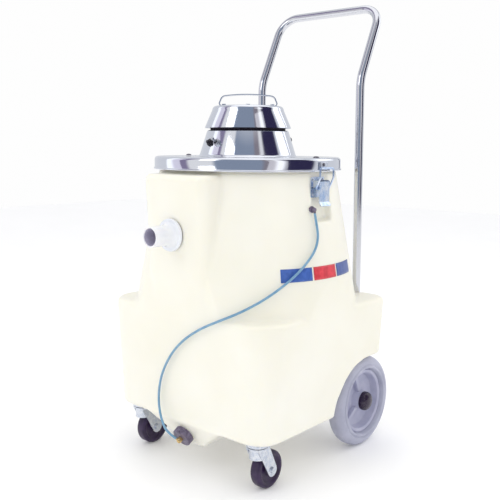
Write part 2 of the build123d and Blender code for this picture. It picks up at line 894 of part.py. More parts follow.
# ---------------------------------------------------------------- handle
def make_handle():
    points = [
        (-handle_half, handle_y, handle_foot_z), (-handle_half, handle_y, handle_kink_z),
        (-handle_half, handle_top_y, handle_top_z), (handle_half, handle_top_y, handle_top_z),
        (handle_half, handle_y, handle_kink_z), (handle_half, handle_y, handle_foot_z)]
    radii = [handle_kink_r, handle_corner_r, handle_corner_r, handle_kink_r]
    path = FilletPolyline(*points, radius=radii)
    section = Circle(handle_tube_r) - Circle(handle_tube_r - handle_wall)
    return sweep(Plane(origin=path @ 0, z_dir=path % 0) * section, path=path)


save(make_handle(), "push_handle")


def make_handle_clamps():
    clamps = []
    for side in (-1, 1):
        for z in handle_clamp_zs:
            x = side * handle_half
            strap = block(x - handle_clamp_half, x + handle_clamp_half, body_rear_y,
                          body_rear_y + handle_clamp_t, z - handle_clamp_height / 2,
                          z + handle_clamp_height / 2)
            clamps.append(fillet(strap.edges().filter_by(Axis.Y), 4))
    return [clamp - Compound(children=body_screws) for clamp in clamps]


save(make_handle_clamps(), "handle_clamps")


# ---------------------------------------------------------------- rear axle and wheels
axle_half = wheel_outer_x + axle_overhang
save(Pos(0, axle_y, wheel_r) * Rot(0, 90, 0) * Cylinder(axle_r, 2 * axle_half), "axle")


def make_axle_clamps():
    clamps = []
    for side in (-1, 1):
        x = side * axle_clamp_x
        half = axle_clamp_width / 2
        strap = block(x - half, x + half, axle_y - axle_clamp_reach, axle_y + axle_clamp_reach,
                      body_bottom_z - axle_clamp_t, body_bottom_z)
        saddle = Pos(x, axle_y, wheel_r) * Rot(0, 90, 0) * Cylinder(
            axle_r + groove_clear + axle_clamp_t, axle_clamp_width)
        saddle -= block(x - 20, x + 20, axle_y - 30, axle_y + 30, body_bottom_z, body_bottom_z + 30)
        clamp = strap + saddle
        clamp -= Pos(x, axle_y, wheel_r) * Rot(0, 90, 0) * Cylinder(axle_r + groove_clear, 60)
        clamps.append(clamp - Compound(children=body_screws))
    return clamps


save(make_axle_clamps(), "axle_clamps")

half_tyre = wheel_width / 2


def make_tyre():
    """Solid rubber tyre about Z, with a rounded tread and a bead ring on each side."""
    shoulder = wheel_r - tyre_edge
    foot = half_tyre - tyre_foot_in
    crown = half_tyre - tyre_crown_in
    outline = make_face(Polyline(
        (hub_r, -foot), (hub_r + tyre_foot_rise, -half_tyre + tyre_foot_rise),
        (wheel_r - tyre_wall_drop, -half_tyre), (shoulder, -half_tyre + tyre_shoulder_in),
        (wheel_r, -crown), (wheel_r, crown), (shoulder, half_tyre - tyre_shoulder_in),
        (wheel_r - tyre_wall_drop, half_tyre), (hub_r + tyre_foot_rise, half_tyre - tyre_foot_rise),
        (hub_r, foot), close=True))
    tyre = revolve(Plane.XZ * outline, Axis.Z)
    for side in (-1, 1):
        bead = Pos(0, 0, side * (half_tyre - tyre_bead_in)) * Torus(hub_r + tyre_bead_out, tyre_bead_r)
        tyre += bead
    return tyre


def make_hub():
    """Moulded hub about Z with +Z outwards: rim, dished web, three ribs and a bored boss."""
    half = half_tyre - hub_lip_inset
    bore = axle_r + hub_bore_clear
    inner = wheel_outer_x - half_tyre - well_inner_x
    boss_low = -(inner - hub_boss_out)
    hub = ring(hub_r, hub_r - hub_rim, -half, half)
    hub += ring(hub_r - hub_rim + 1, bore, hub_web_low, hub_web_high)
    hub += ring(hub_boss_r, bore, boss_low, half_tyre - hub_boss_in)
    for k in range(hub_ribs):
        reach = hub_r - hub_rim / 2
        rib = block(hub_boss_r - 3, reach, -hub_rib_width / 2, hub_rib_width / 2,
                    hub_web_low, hub_web_high + hub_rib_rise)
        hub += Rot(0, 0, 360 * k / hub_ribs) * rib
    return hub


def make_hub_cap():
    """Domed cap pressed on the boss, over the axle's end."""
    low = half_tyre - hub_cap_seat
    foot = half_tyre - hub_boss_in
    outer = Pos(0, 0, foot) * Cone(hub_cap_r, hub_cap_r - hub_cap_lean, hub_cap_h,
                                   align=(Align.CENTER, Align.CENTER, Align.MIN))
    outer = fillet(outer.edges().group_by(Axis.Z)[-1], hub_cap_round)
    skirt = ring(hub_cap_r, hub_boss_r, low, foot)
    hollow = disc(hub_boss_r - 3, foot, foot + hub_cap_h - hub_cap_wall)
    return outer + skirt - hollow


wheel_middle_x = wheel_outer_x - half_tyre
for side, name in ((-1, "left"), (1, "right")):
    place = facing(side * wheel_middle_x, axle_y, wheel_r, side, 0, 0)
    save(place * make_tyre(), "tyre_" + name)
    save(place * make_hub(), "hub_" + name)
    save(place * make_hub_cap(), "hub_cap_" + name)


# ---------------------------------------------------------------- swivel casters
fork_half = caster_width / 2 + fork_gap
race_low = body_bottom_z - caster_plate_t - caster_head_h


def make_caster_mount():
    """Top plate with its raceway and kingpin, about the swivel axis."""
    plate = block(-caster_plate / 2, caster_plate / 2, -caster_plate / 2, caster_plate / 2,
                  body_bottom_z - caster_plate_t, body_bottom_z)
    plate = fillet(plate.edges().filter_by(Axis.Z), caster_plate_r)
    race = disc(caster_head_r, race_low, body_bottom_z - caster_plate_t)
    race = fillet(race.edges().group_by(Axis.Z)[0], caster_race_round)
    pin = disc(caster_pin_r, race_low - caster_gap - fork_t - caster_pin_foot, race_low)
    return plate + race + pin


def make_fork():
    """Pressed fork: a crown under the raceway and two legs that trail back to the wheel."""
    top = race_low - caster_gap
    crown = disc(caster_head_r - 2, top - fork_t, top)
    crown += block(-fork_half - fork_t, fork_half + fork_t, -fork_crown_half + 4,
                   fork_crown_half, top - fork_t, top)
    crown -= disc(caster_pin_r + caster_fit, top - 20, top + 5)
    tip_y = caster_trail
    side = make_hull(
        [Pos(tip_y, caster_r) * Circle(fork_tip_r).edge(),
         Pos(fork_crown_half - fork_corner_in, top - fork_corner_drop) * Circle(fork_corner_r).edge(),
         Pos(-fork_crown_half + 7, top - fork_corner_drop) * Circle(fork_corner_r).edge()])
    leg = extrude(Plane.YZ * side, fork_t)
    leg -= block(-1, fork_t + 1, -60, 60, top, top + 20)
    skirt = ring(fork_half + fork_t, fork_half, top - fork_skirt, top)
    skirt &= block(-caster_plate, caster_plate, -caster_plate, 0.5, top - fork_skirt, top)
    fork = crown + skirt + Pos(fork_half, 0, 0) * leg + Pos(-fork_half - fork_t, 0, 0) * leg
    fork -= Pos(0, tip_y, caster_r) * Rot(0, 90, 0) * Cylinder(caster_bolt_r, 200)
    return fork


def make_caster_wheel():
    web = caster_width / 2 - caster_web_inset
    edge = caster_tread_edge
    half = caster_width / 2
    outline = make_face(Polyline(
        (caster_bolt_r + caster_fit, -half), (caster_boss_r, -half), (caster_web_inner_r, -web),
        (caster_web_outer_r, -web), (caster_rim_r, -half), (caster_r - edge, -half),
        (caster_r, -half + edge), (caster_r, half - edge), (caster_r - edge, half),
        (caster_rim_r, half), (caster_web_outer_r, web), (caster_web_inner_r, web),
        (caster_boss_r, half), (caster_bolt_r + caster_fit, half), close=True))
    wheel = revolve(Plane.XZ * outline, Axis.Z)
    return Pos(0, caster_trail, caster_r) * Rot(0, 90, 0) * wheel


def make_caster_bolt():
    reach = fork_half + fork_t
    bolt = Cylinder(caster_bolt_r, 2 * reach)
    for end in (-1, 1):
        head = extrude(RegularPolygon(caster_bolt_head_r, 6), caster_bolt_head_h)
        low = reach if end == 1 else -reach - caster_bolt_head_h
        bolt += Pos(0, 0, low) * head
    return Pos(0, caster_trail, caster_r) * Rot(0, 90, 0) * bolt


for side, name in ((-1, "left"), (1, "right")):
    place = Pos(side * caster_x, caster_pivot_y, 0)
    save(place * make_caster_mount(), "caster_mount_" + name)
    save(place * make_fork(), "caster_fork_" + name)
    save(place * make_caster_wheel(), "caster_wheel_" + name)
    save(place * make_caster_bolt(), "caster_bolt_" + name)


# ---------------------------------------------------------------- draw latches
latch_pivot_x = recess_x + latch_base_t + latch_pivot_out
latch_pivot_z = latch_z + latch_pivot_rise
loop_bar_x = lid_r + keeper_hook + loop_hook_gap + loop_wire_r


def mirrored(shape, side):
    return shape if side == 1 else mirror(shape, Plane.YZ)


def make_latch_base():
    """Plate with two ears that carry the lever's pin."""
    low = latch_z - latch_base_height / 2
    plate = block(recess_x, recess_x + latch_base_t, -latch_base_half, latch_base_half,
                  low, low + latch_base_height)
    plate = fillet(plate.edges().filter_by(Axis.X), latch_corner_r)
    for end in (-1, 1):
        y = end * (latch_lever_half + latch_ear_t / 2 + latch_ear_gap)
        ear = block(recess_x + latch_base_t, latch_pivot_x + latch_pin_r + latch_ear_out,
                    y - latch_ear_t / 2, y + latch_ear_t / 2, latch_pivot_z - latch_ear_low,
                    latch_pivot_z + latch_ear_high)
        plate += fillet(ear.edges().filter_by(Axis.Y).sort_by(Axis.X)[-2:], latch_ear_round)
    pin_half = latch_lever_half + latch_ear_t + latch_ear_gap + latch_pin_end
    plate += Pos(latch_pivot_x, 0, latch_pivot_z) * Rot(90, 0, 0) * Cylinder(latch_pin_r, 2 * pin_half)
    return plate


def make_latch_lever():
    """Lever about its pin: two cheeks with the loop's eye, and a plate with a turned-up tip."""
    inner = latch_lever_half - latch_lever_t
    cheek = make_hull([Pos(latch_pivot_x, latch_pivot_z) * Circle(latch_pin_r + latch_eye_wall).edge(),
                       Pos(latch_pivot_x, latch_pivot_z - latch_throw) * Circle(latch_loop_eye_r).edge()])
    cheek = extrude(Plane.XZ * cheek, latch_lever_t)
    lever = Pos(0, latch_lever_half, 0) * cheek + Pos(0, -inner, 0) * cheek
    face_x = latch_pivot_x + latch_face_out
    top = latch_pivot_z + latch_top_rise
    plate = block(face_x, face_x + latch_lever_t, -latch_lever_half, latch_lever_half,
                  top - latch_lever_length, top)
    tip = Pos(face_x, 0, top - latch_lever_length) * Rot(0, latch_tip_turn, 0) * block(
        0, latch_lever_t, -latch_lever_half, latch_lever_half, -latch_tip_length, latch_tip_root)
    lever = lever + plate + tip
    lever -= Pos(latch_pivot_x, 0, latch_pivot_z) * Rot(90, 0, 0) * Cylinder(
        latch_pin_r + latch_clear, 100)
    lever -= Pos(latch_pivot_x, 0, latch_pivot_z - latch_throw) * Rot(90, 0, 0) * Cylinder(
        loop_wire_r + latch_clear, 100)
    return lever


def make_latch_loop():
    """Wire loop whose lower bar turns in the lever's cheeks."""
    x = latch_pivot_x
    low = latch_pivot_z - latch_throw
    half = latch_lever_half + latch_ear_t + loop_cheek_gap
    out = loop_bar_x
    knee = low + loop_knee_rise
    path = FilletPolyline((x, half, low), (out, half, knee), (out, half, keeper_z),
                          (out, -half, keeper_z), (out, -half, knee), (x, -half, low),
                          radius=[loop_bend_r, loop_knee_r, loop_bend_r, loop_bend_r, loop_knee_r,
                                  loop_bend_r], close=True)
    return sweep(Plane(origin=path @ 0, z_dir=path % 0) * Circle(loop_wire_r), path=path)


def make_latch_rivets(side):
    rivets = []
    rise = latch_base_height / 2 - rivet_inset_z
    for end in (-1, 1):
        for z in (latch_z - rise, latch_z + rise):
            place = facing(recess_x + latch_base_t, end * (latch_base_half - rivet_inset_y), z, 1, 0, 0)
            rivet = place * (disc(rivet_r, -rivet_depth, 0) + dome(rivet_head_r, rivet_head_h))
            rivets.append(mirrored(rivet, side))
    return rivets


def dome(radius, height):
    cap = disc(radius, 0, height)
    return fillet(cap.edges().group_by(Axis.Z)[-1], 0.9 * height)


latch_rivets = []
for side, name in ((-1, "left"), (1, "right")):
    rivets = make_latch_rivets(side)
    latch_rivets += rivets
    base = mirrored(make_latch_base(), side) - Compound(children=rivets)
    save(base, "latch_base_" + name)
    save(mirrored(make_latch_lever(), side), "latch_lever_" + name)
    save(mirrored(make_latch_loop(), side), "latch_loop_" + name)
save(latch_rivets, "latch_rivets")


# ---------------------------------------------------------------- lid
def make_lid():
    """Pressed metal cover with a rounded edge and a rolled bead round its skirt."""
    edge = lid_edge_r
    outline = (
        Polyline((lid_port_r, lid_top_z - lid_t), (lid_port_r, lid_top_z),
                 (lid_r - edge, lid_top_z)),
        RadiusArc((lid_r - edge, lid_top_z), (lid_r, lid_top_z - edge), edge),
        Polyline((lid_r, lid_top_z - edge), (lid_r, lid_skirt_z), (lid_r - lid_t, lid_skirt_z),
                 (lid_r - lid_t, lid_top_z - edge)),
        RadiusArc((lid_r - lid_t, lid_top_z - edge), (lid_r - edge, lid_top_z - lid_t),
                  -(edge - lid_t)),
        Line((lid_r - edge, lid_top_z - lid_t), (lid_port_r, lid_top_z - lid_t)))
    lid = revolve(Plane.XZ * make_face(outline), Axis.Z)
    lid += Pos(0, 0, lid_skirt_z + lid_bead_r) * Torus(lid_r - lid_t / 2, lid_bead_r)
    for side in (-1, 1):
        x = lid_r - lid_t / 4
        low = keeper_z - loop_wire_r - keeper_t - keeper_drop
        drop = block(x, x + keeper_t, -keeper_half, keeper_half, low, lid_top_z - edge - keeper_top_gap)
        hook = block(x, x + keeper_hook, -keeper_half, keeper_half, low, low + keeper_t)
        lip = block(x + keeper_hook - keeper_t, x + keeper_hook, -keeper_half, keeper_half,
                    low, low + keeper_t + keeper_lip)
        lid += mirrored(drop + hook + lip, side)
    return lid


save(make_lid(), "lid")
lid_inside_z = lid_top_z - lid_t
save(ring(neck_r, lid_gasket_inner, neck_z, lid_inside_z), "lid_gasket")


def bail_point(along, across=0.0):
    turn = math.radians(bail_turn)
    return (along * math.cos(turn) - across * math.sin(turn),
            along * math.sin(turn) + across * math.cos(turn))


# ---------------------------------------------------------------- motor head
def shell_outline(outer, inner):
    return revolve(Plane.XZ * make_face(Polyline(*outer, *reversed(inner), close=True)), Axis.Z)


def make_housing():
    """Spun cone with a flared foot and a flat deck that the motor passes through."""
    flare = housing_flare_r
    lean = (housing_foot_r - flare - housing_top_r) / (housing_top_z - housing_foot_z - flare)
    outer = [
        (housing_foot_r, housing_foot_z), (housing_foot_r - 0.5 * flare, housing_foot_z + 0.3 * flare),
        (housing_foot_r - flare, housing_foot_z + flare), (housing_top_r, housing_top_z)]
    skin = housing_t * math.hypot(1, lean)
    inner = [
        (housing_foot_r - skin - flare, housing_foot_z),
        (housing_top_r - skin + lean * housing_t, housing_top_z - housing_t),
        (deck_port_r, housing_top_z - housing_t), (deck_port_r, housing_top_z)]
    shell = shell_outline(outer, inner)
    for hole in control_places():
        shell -= hole[0] * Cylinder(hole[1], 30)
    return shell


def housing_radius(z):
    lean = (housing_foot_r - housing_flare_r - housing_top_r) / (
        housing_top_z - housing_foot_z - housing_flare_r)
    return housing_top_r + lean * (housing_top_z - z)


def on_housing(turn):
    """Place on the cone's side at the control height, with Z pointing outwards."""
    lean = (housing_radius(control_z) - housing_radius(control_z + 1))
    size = math.hypot(1, lean)
    angle = math.radians(turn)
    x = housing_radius(control_z) * math.cos(angle)
    y = housing_radius(control_z) * math.sin(angle)
    return facing(x, y, control_z, math.cos(angle) / size, math.sin(angle) / size, lean / size)


def control_places():
    return [(on_housing(toggle_turn), toggle_r), (on_housing(breaker_turn), breaker_r - 1),
            (on_housing(gland_turn), gland_r - 1)]


save(make_housing(), "motor_housing")


def make_cap():
    rise = cap_top_z - housing_top_z - vent_gap
    foot = housing_top_z + vent_gap
    lean = (cap_foot_r - cap_top_r) / (rise - cap_edge_r)
    cap = Pos(0, 0, foot) * Cone(cap_foot_r, cap_foot_r - lean * rise, rise,
                                 align=(Align.CENTER, Align.CENTER, Align.MIN))
    cap = fillet(cap.edges().group_by(Axis.Z)[-1], cap_edge_r)
    hollow = Pos(0, 0, foot - 1) * Cone(cap_foot_r - housing_t, cap_foot_r - housing_t - lean * rise, rise,
                                        align=(Align.CENTER, Align.CENTER, Align.MIN))
    hollow -= disc(cap_foot_r, cap_top_z - housing_t, cap_top_z + 5)
    hollow = fillet(hollow.edges().group_by(Axis.Z)[-1], cap_edge_r - housing_t)
    return cap - hollow - Compound(children=cap_screws)


def post_points():
    """Two posts under the bail's feet and two across from them."""
    return [bail_point(post_ring), bail_point(-post_ring),
            bail_point(0, post_ring), bail_point(0, -post_ring)]


def make_cap_screws():
    screw = pan_screw(screw_r, screw_head_r, screw_head_h, cap_screw_length)
    screws = []
    for k, (x, y) in enumerate(post_points()):
        seat = cap_top_z + (bail_t if k < 2 else 0)
        screws.append(Pos(x, y, seat) * screw)
    return screws


cap_screws = make_cap_screws()
save(cap_screws, "cap_screws")
save(make_cap(), "motor_cap")


def make_posts():
    posts = []
    for x, y in post_points():
        post = Pos(x, y, 0) * disc(post_r, housing_top_z, cap_top_z - housing_t)
        posts.append(post - Compound(children=cap_screws))
    return posts


save(make_posts(), "cap_posts")


def make_bail():
    """Flat strap bent up from two feet into a low arch, on the cap's top."""
    low = cap_top_z + bail_t / 2
    top = cap_top_z + bail_rise - bail_t / 2
    hip = bail_half - bail_lean
    path = FilletPolyline((bail_foot - bail_half, low), (-bail_half, low), (-hip, top - bail_crown),
                          (0, top), (hip, top - bail_crown), (bail_half, low),
                          (bail_half - bail_foot, low),
                          radius=[bail_foot_bend_r, bail_hip_bend_r, bail_top_bend_r,
                                  bail_hip_bend_r, bail_foot_bend_r])
    strip = Plane.XZ * trace(path, bail_t)
    bail = extrude(strip, bail_width / 2, both=True)
    bail = Rot(0, 0, bail_turn) * bail
    return bail - Compound(children=cap_screws)


save(make_bail(), "bail_handle")


# ---------------------------------------------------------------- vacuum motor
fan_floor_z = lid_top_z


def make_fan_case():
    low = fan_floor_z
    case = disc(fan_case_r, low, fan_case_top_z)
    case = fillet(case.edges().group_by(Axis.Z)[-1], fan_case_round)
    case -= disc(fan_r + fan_clear, low + fan_case_t, fan_case_top_z - fan_case_t)
    case -= disc(eye_r, low - 1, low + fan_case_t + 1)
    case -= disc(armature_r + armature_gap, fan_case_top_z - fan_case_t - 1, fan_case_top_z + 1)
    for k in range(fan_outlets):
        outlet = Pos(fan_case_r, 0, (low + fan_case_top_z) / 2) * Box(
            cut_depth, fan_outlet_width, fan_outlet_height)
        case -= Rot(0, 0, 360 * k / fan_outlets) * outlet
    return case


def make_stator():
    top = stator_top_z
    stator = ring(stator_r, stator_r - stator_t, fan_case_top_z, top)
    stator += ring(stator_r, shaft_r + bearing_clear, top, top + stator_cap_t)
    for k in range(stator_windows):
        window = Pos(stator_r, 0, top - stator_window_drop) * Box(
            cut_depth, stator_window_width, stator_window_height)
        stator -= Rot(0, 0, 360 * (k + 0.5) / stator_windows) * window
    return stator


def make_rotor():
    fan_low = fan_floor_z + fan_case_t + fan_gap
    blade_low = fan_low + fan_plate_t
    shaft = disc(shaft_r, fan_low - 1, stator_top_z + shaft_end)
    fan = ring(fan_r, fan_hub_r, fan_low, blade_low)
    fan += disc(fan_r, fan_low + fan_blade_h, blade_low + fan_blade_h)
    for k in range(fan_blades):
        blade = Pos((fan_r + fan_hub_r) / 2, 0, fan_low + 9) * Rot(0, 0, fan_blade_turn) * Box(
            fan_r - armature_r, fan_blade_t, fan_blade_h)
        fan += Rot(0, 0, 360 * k / fan_blades) * blade
    armature = disc(armature_r, fan_case_top_z + armature_gap, stator_top_z - commutator_low)
    drum = disc(armature_r - commutator_inset, stator_top_z - commutator_low,
                stator_top_z - commutator_high)
    return shaft + fan + armature + drum


save(make_fan_case(), "fan_case")
save(make_stator(), "motor_stator")
save(make_rotor(), "motor_rotor")


# ---------------------------------------------------------------- controls
def make_toggle_switch():
    place = on_housing(toggle_turn)
    bush = disc(toggle_r, -housing_t - toggle_bush_inner, toggle_nut_t + toggle_bush_out)
    nut = extrude(RegularPolygon(toggle_nut_r, 6), toggle_nut_t)
    case = Pos(0, 0, -housing_t - toggle_bush_inner - toggle_body / 2) * Box(
        toggle_body, 0.6 * toggle_body, toggle_body)
    mouth = Cone(toggle_lever_r + toggle_mouth_clear, toggle_r - toggle_mouth_rim, toggle_nut_t + 4,
                 align=(Align.CENTER, Align.CENTER, Align.MIN))
    mouth += disc(toggle_lever_r + toggle_mouth_clear, -1, 0.1)
    return place * (bush + nut + case - mouth)


def make_toggle_lever():
    place = on_housing(toggle_turn)
    root = toggle_pivot_rise
    tip = root + toggle_lever_length
    lever = Pos(0, 0, (root + tip) / 2) * Cone(toggle_lever_r - toggle_taper, toggle_lever_r, tip - root)
    lever += Pos(0, 0, tip) * Sphere(toggle_ball_r)
    lever += Pos(0, 0, root) * Rot(90, 0, 0) * Cylinder(toggle_pin_r, 2 * toggle_lever_r)
    angle = math.radians(toggle_turn)
    pivot = (place * Pos(0, 0, root)).position
    return (place * lever).rotate(Axis(pivot, (-math.sin(angle), math.cos(angle), 0)), toggle_tilt)


save(make_toggle_switch(), "toggle_switch")
save(make_toggle_lever(), "toggle_lever")


def make_breaker():
    nut = extrude(RegularPolygon(breaker_r + breaker_nut_out, 6), breaker_nut_t)
    body = disc(breaker_r - 1, -breaker_depth, breaker_bush_h) + nut
    return on_housing(breaker_turn) * (body - disc(breaker_button_r + breaker_clear, -breaker_well,
                                                  breaker_bush_h + 1))


save(make_breaker(), "breaker")
button_low = -breaker_well + breaker_stroke + breaker_button_gap
save(on_housing(breaker_turn) * disc(breaker_button_r, button_low, breaker_button_top), "breaker_button")


def make_gland():
    body = disc(gland_r - 1, -gland_depth, 0)
    body += extrude(RegularPolygon(gland_r + gland_nut_out, 6), gland_nut_t)
    sleeve = Pos(0, 0, gland_nut_t) * Cone(gland_r, gland_bore_r + gland_lip, gland_length,
                                 align=(Align.CENTER, Align.CENTER, Align.MIN))
    bore = disc(gland_bore_r, -gland_depth - 1, gland_nut_t + gland_length + 1)
    return on_housing(gland_turn) * (body + sleeve - bore)


save(make_gland(), "cord_gland")


# ---------------------------------------------------------------- float shut-off
def make_float_cage():
    """Slotted basket under the lid's port that holds the float ball."""
    top = lid_inside_z
    seat = top - cage_flange_t - cage_seat_t
    cage = ring(cage_r, cage_r - cage_t, cage_bottom_z, top)
    cage += ring(cage_r, cage_hole_r, cage_bottom_z, cage_bottom_z + cage_t)
    cage += ring(cage_r + cage_flange, lid_port_r, top - cage_flange_t, top)
    cage += ring(cage_r, lid_port_r - cage_seat, seat, top - cage_flange_t)
    for k in range(cage_slots):
        slot = Pos(cage_r, 0, (cage_bottom_z + seat) / 2) * Box(
            cut_depth, cage_slot_width, seat - cage_bottom_z - cage_slot_margin)
        cage -= Rot(0, 0, 360 * k / cage_slots) * slot
    return cage


save(make_float_cage(), "float_cage")
save(Pos(0, 0, float_z) * Sphere(float_r), "float_ball")


# The body is pierced last, by the fittings and fasteners that pass into it.
tank_body -= Compound(children=[tube_fitting] + body_screws + latch_rivets)
save(tank_body, "tank_body")
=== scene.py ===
import bpy
import bmesh
import math
from mathutils import Matrix, Vector


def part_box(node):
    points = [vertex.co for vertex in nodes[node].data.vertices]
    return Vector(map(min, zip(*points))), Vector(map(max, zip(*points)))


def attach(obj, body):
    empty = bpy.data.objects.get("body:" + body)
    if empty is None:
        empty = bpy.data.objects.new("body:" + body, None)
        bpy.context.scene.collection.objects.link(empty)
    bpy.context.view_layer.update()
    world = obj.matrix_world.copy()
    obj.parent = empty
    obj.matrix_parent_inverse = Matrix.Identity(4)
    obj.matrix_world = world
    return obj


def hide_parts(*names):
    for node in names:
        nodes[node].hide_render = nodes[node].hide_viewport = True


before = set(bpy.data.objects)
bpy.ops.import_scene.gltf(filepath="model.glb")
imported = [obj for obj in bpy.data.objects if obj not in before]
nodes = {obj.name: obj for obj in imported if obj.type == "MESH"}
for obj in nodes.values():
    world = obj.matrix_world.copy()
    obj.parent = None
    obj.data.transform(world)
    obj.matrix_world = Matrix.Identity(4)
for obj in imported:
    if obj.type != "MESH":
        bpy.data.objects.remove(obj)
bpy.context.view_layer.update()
scene = bpy.context.scene


# ---------------------------------------------------------------- camera
# The machine is seen a little from its right front corner, at about the height of its lid,
# with the picture's centre lowered so that the wheels and the handle both fit.
view_turn = math.radians(41.09)
view_drop = math.radians(5.02)
view_roll = math.radians(0.47)
camera_data = bpy.data.cameras.new("studio_camera")
camera_data.lens = 53.13
camera_data.shift_y = -0.08
camera_place = (1.07702, -1.23892, 0.67916)
camera = bpy.data.objects.new("studio_camera", camera_data)
scene.collection.objects.link(camera)
camera.matrix_world = (
    Matrix.Translation(camera_place) @ Matrix.Rotation(view_turn, 4, "Z")
    @ Matrix.Rotation(math.pi / 2 - view_drop, 4, "X") @ Matrix.Rotation(view_roll, 4, "Z"))
scene.camera = camera


# ---------------------------------------------------------------- studio
# A pale floor under soft boxes. The world is white to the eye, with darker
# bands that only the polished metal picks up, as the walls of a studio would give.
def new_material(name, colour, roughness, metallic=0.0):
    material = bpy.data.materials.new(name)
    material.use_nodes = True
    shader = material.node_tree.nodes["Principled BSDF"]
    shader.inputs["Base Color"].default_value = (*colour, 1.0)
    shader.inputs["Roughness"].default_value = roughness
    shader.inputs["Metallic"].default_value = metallic
    return material, shader


def add_node(material, kind, **values):
    node = material.node_tree.nodes.new("ShaderNode" + kind)
    for key, value in values.items():
        if hasattr(node, key):
            setattr(node, key, value)
        else:
            node.inputs[key.replace("_", " ")].default_value = value
    return node


def object_noise(material, scale, detail=4.0, roughness=0.55, stretch=(1.0, 1.0, 1.0)):
    """Noise that stays fixed to the piece, with scale in cycles per metre."""
    place = add_node(material, "TexCoord")
    mapping = add_node(material, "Mapping")
    mapping.inputs["Scale"].default_value = stretch
    noise = add_node(material, "TexNoise")
    noise.inputs["Scale"].default_value = scale
    noise.inputs["Detail"].default_value = detail
    noise.inputs["Roughness"].default_value = roughness
    links = material.node_tree.links
    links.new(place.outputs["Object"], mapping.inputs["Vector"])
    links.new(mapping.outputs["Vector"], noise.inputs["Vector"])
    return noise


def ramp_into(material, noise, socket, low, high, start=0.3, end=0.7):
    """Drive a colour or number socket between two values with a noise."""
    ramp = add_node(material, "ValToRGB")
    first, last = ramp.color_ramp.elements
    first.position = start
    last.position = end
    first.color = (*low, 1.0) if isinstance(low, tuple) else (low, low, low, 1.0)
    last.color = (*high, 1.0) if isinstance(high, tuple) else (high, high, high, 1.0)
    material.node_tree.links.new(noise.outputs["Fac"], ramp.inputs["Fac"])
    material.node_tree.links.new(ramp.outputs["Color"], socket)


def bump_from(material, shader, noise, strength, distance):
    bump = add_node(material, "Bump")
    bump.inputs["Strength"].default_value = strength
    bump.inputs["Distance"].default_value = distance
    material.node_tree.links.new(noise.outputs["Fac"], bump.inputs["Height"])
    material.node_tree.links.new(bump.outputs["Normal"], shader.inputs["Normal"])


def link_mesh(name, mesh):
    piece = bpy.data.objects.new(name, mesh)
    scene.collection.objects.link(piece)
    return piece


floor_half = 6.0
floor_glow = 0.06


def studio_floor():
    bm = bmesh.new()
    bmesh.ops.create_grid(bm, x_segments=1, y_segments=1, size=floor_half)
    mesh = bpy.data.meshes.new("studio_floor")
    bm.to_mesh(mesh)
    bm.free()
    floor = link_mesh("studio_floor", mesh)
    material, shader = new_material("pale_floor", (0.93, 0.93, 0.94), 0.55)
    grain = object_noise(material, 3.0)
    ramp_into(material, grain, shader.inputs["Base Color"], (0.94, 0.94, 0.95), (0.97, 0.97, 0.98))
    shader.inputs["Emission Color"].default_value = (1.0, 1.0, 1.0, 1.0)
    shader.inputs["Emission Strength"].default_value = floor_glow
    mesh.materials.append(material)


studio_floor()


def soft_box(name, place, aim, width, height, power):
    light = bpy.data.lights.new(name, "AREA")
    light.shape = "RECTANGLE"
    light.size = width
    light.size_y = height
    light.energy = power
    lamp = bpy.data.objects.new(name, light)
    scene.collection.objects.link(lamp)
    lamp.location = place
    lamp.rotation_euler = (Vector(aim) - Vector(place)).to_track_quat("-Z", "Y").to_euler()


middle = (0.0, 0.0, 0.45)
soft_box("key_light", (-0.45, -2.87, 2.3), middle, 1.2, 1.6, 11)
soft_box("left_light", (-2.4, -1.5, 1.5), middle, 1.4, 2.0, 5)
soft_box("right_light", (2.6, -0.6, 1.6), middle, 1.2, 1.8, 3)
soft_box("top_light", (0.0, 0.3, 3.0), middle, 2.4, 2.4, 8)
soft_box("back_light", (1.2, 2.4, 1.9), middle, 1.8, 1.4, 7)


wall_strength = 0.90
wall_white = (1.1, 1.1, 1.1)
ceiling_white = (0.95, 0.95, 0.97)
ceiling_from, ceiling_to = 0.72, 0.90
panel_soft = 2.5


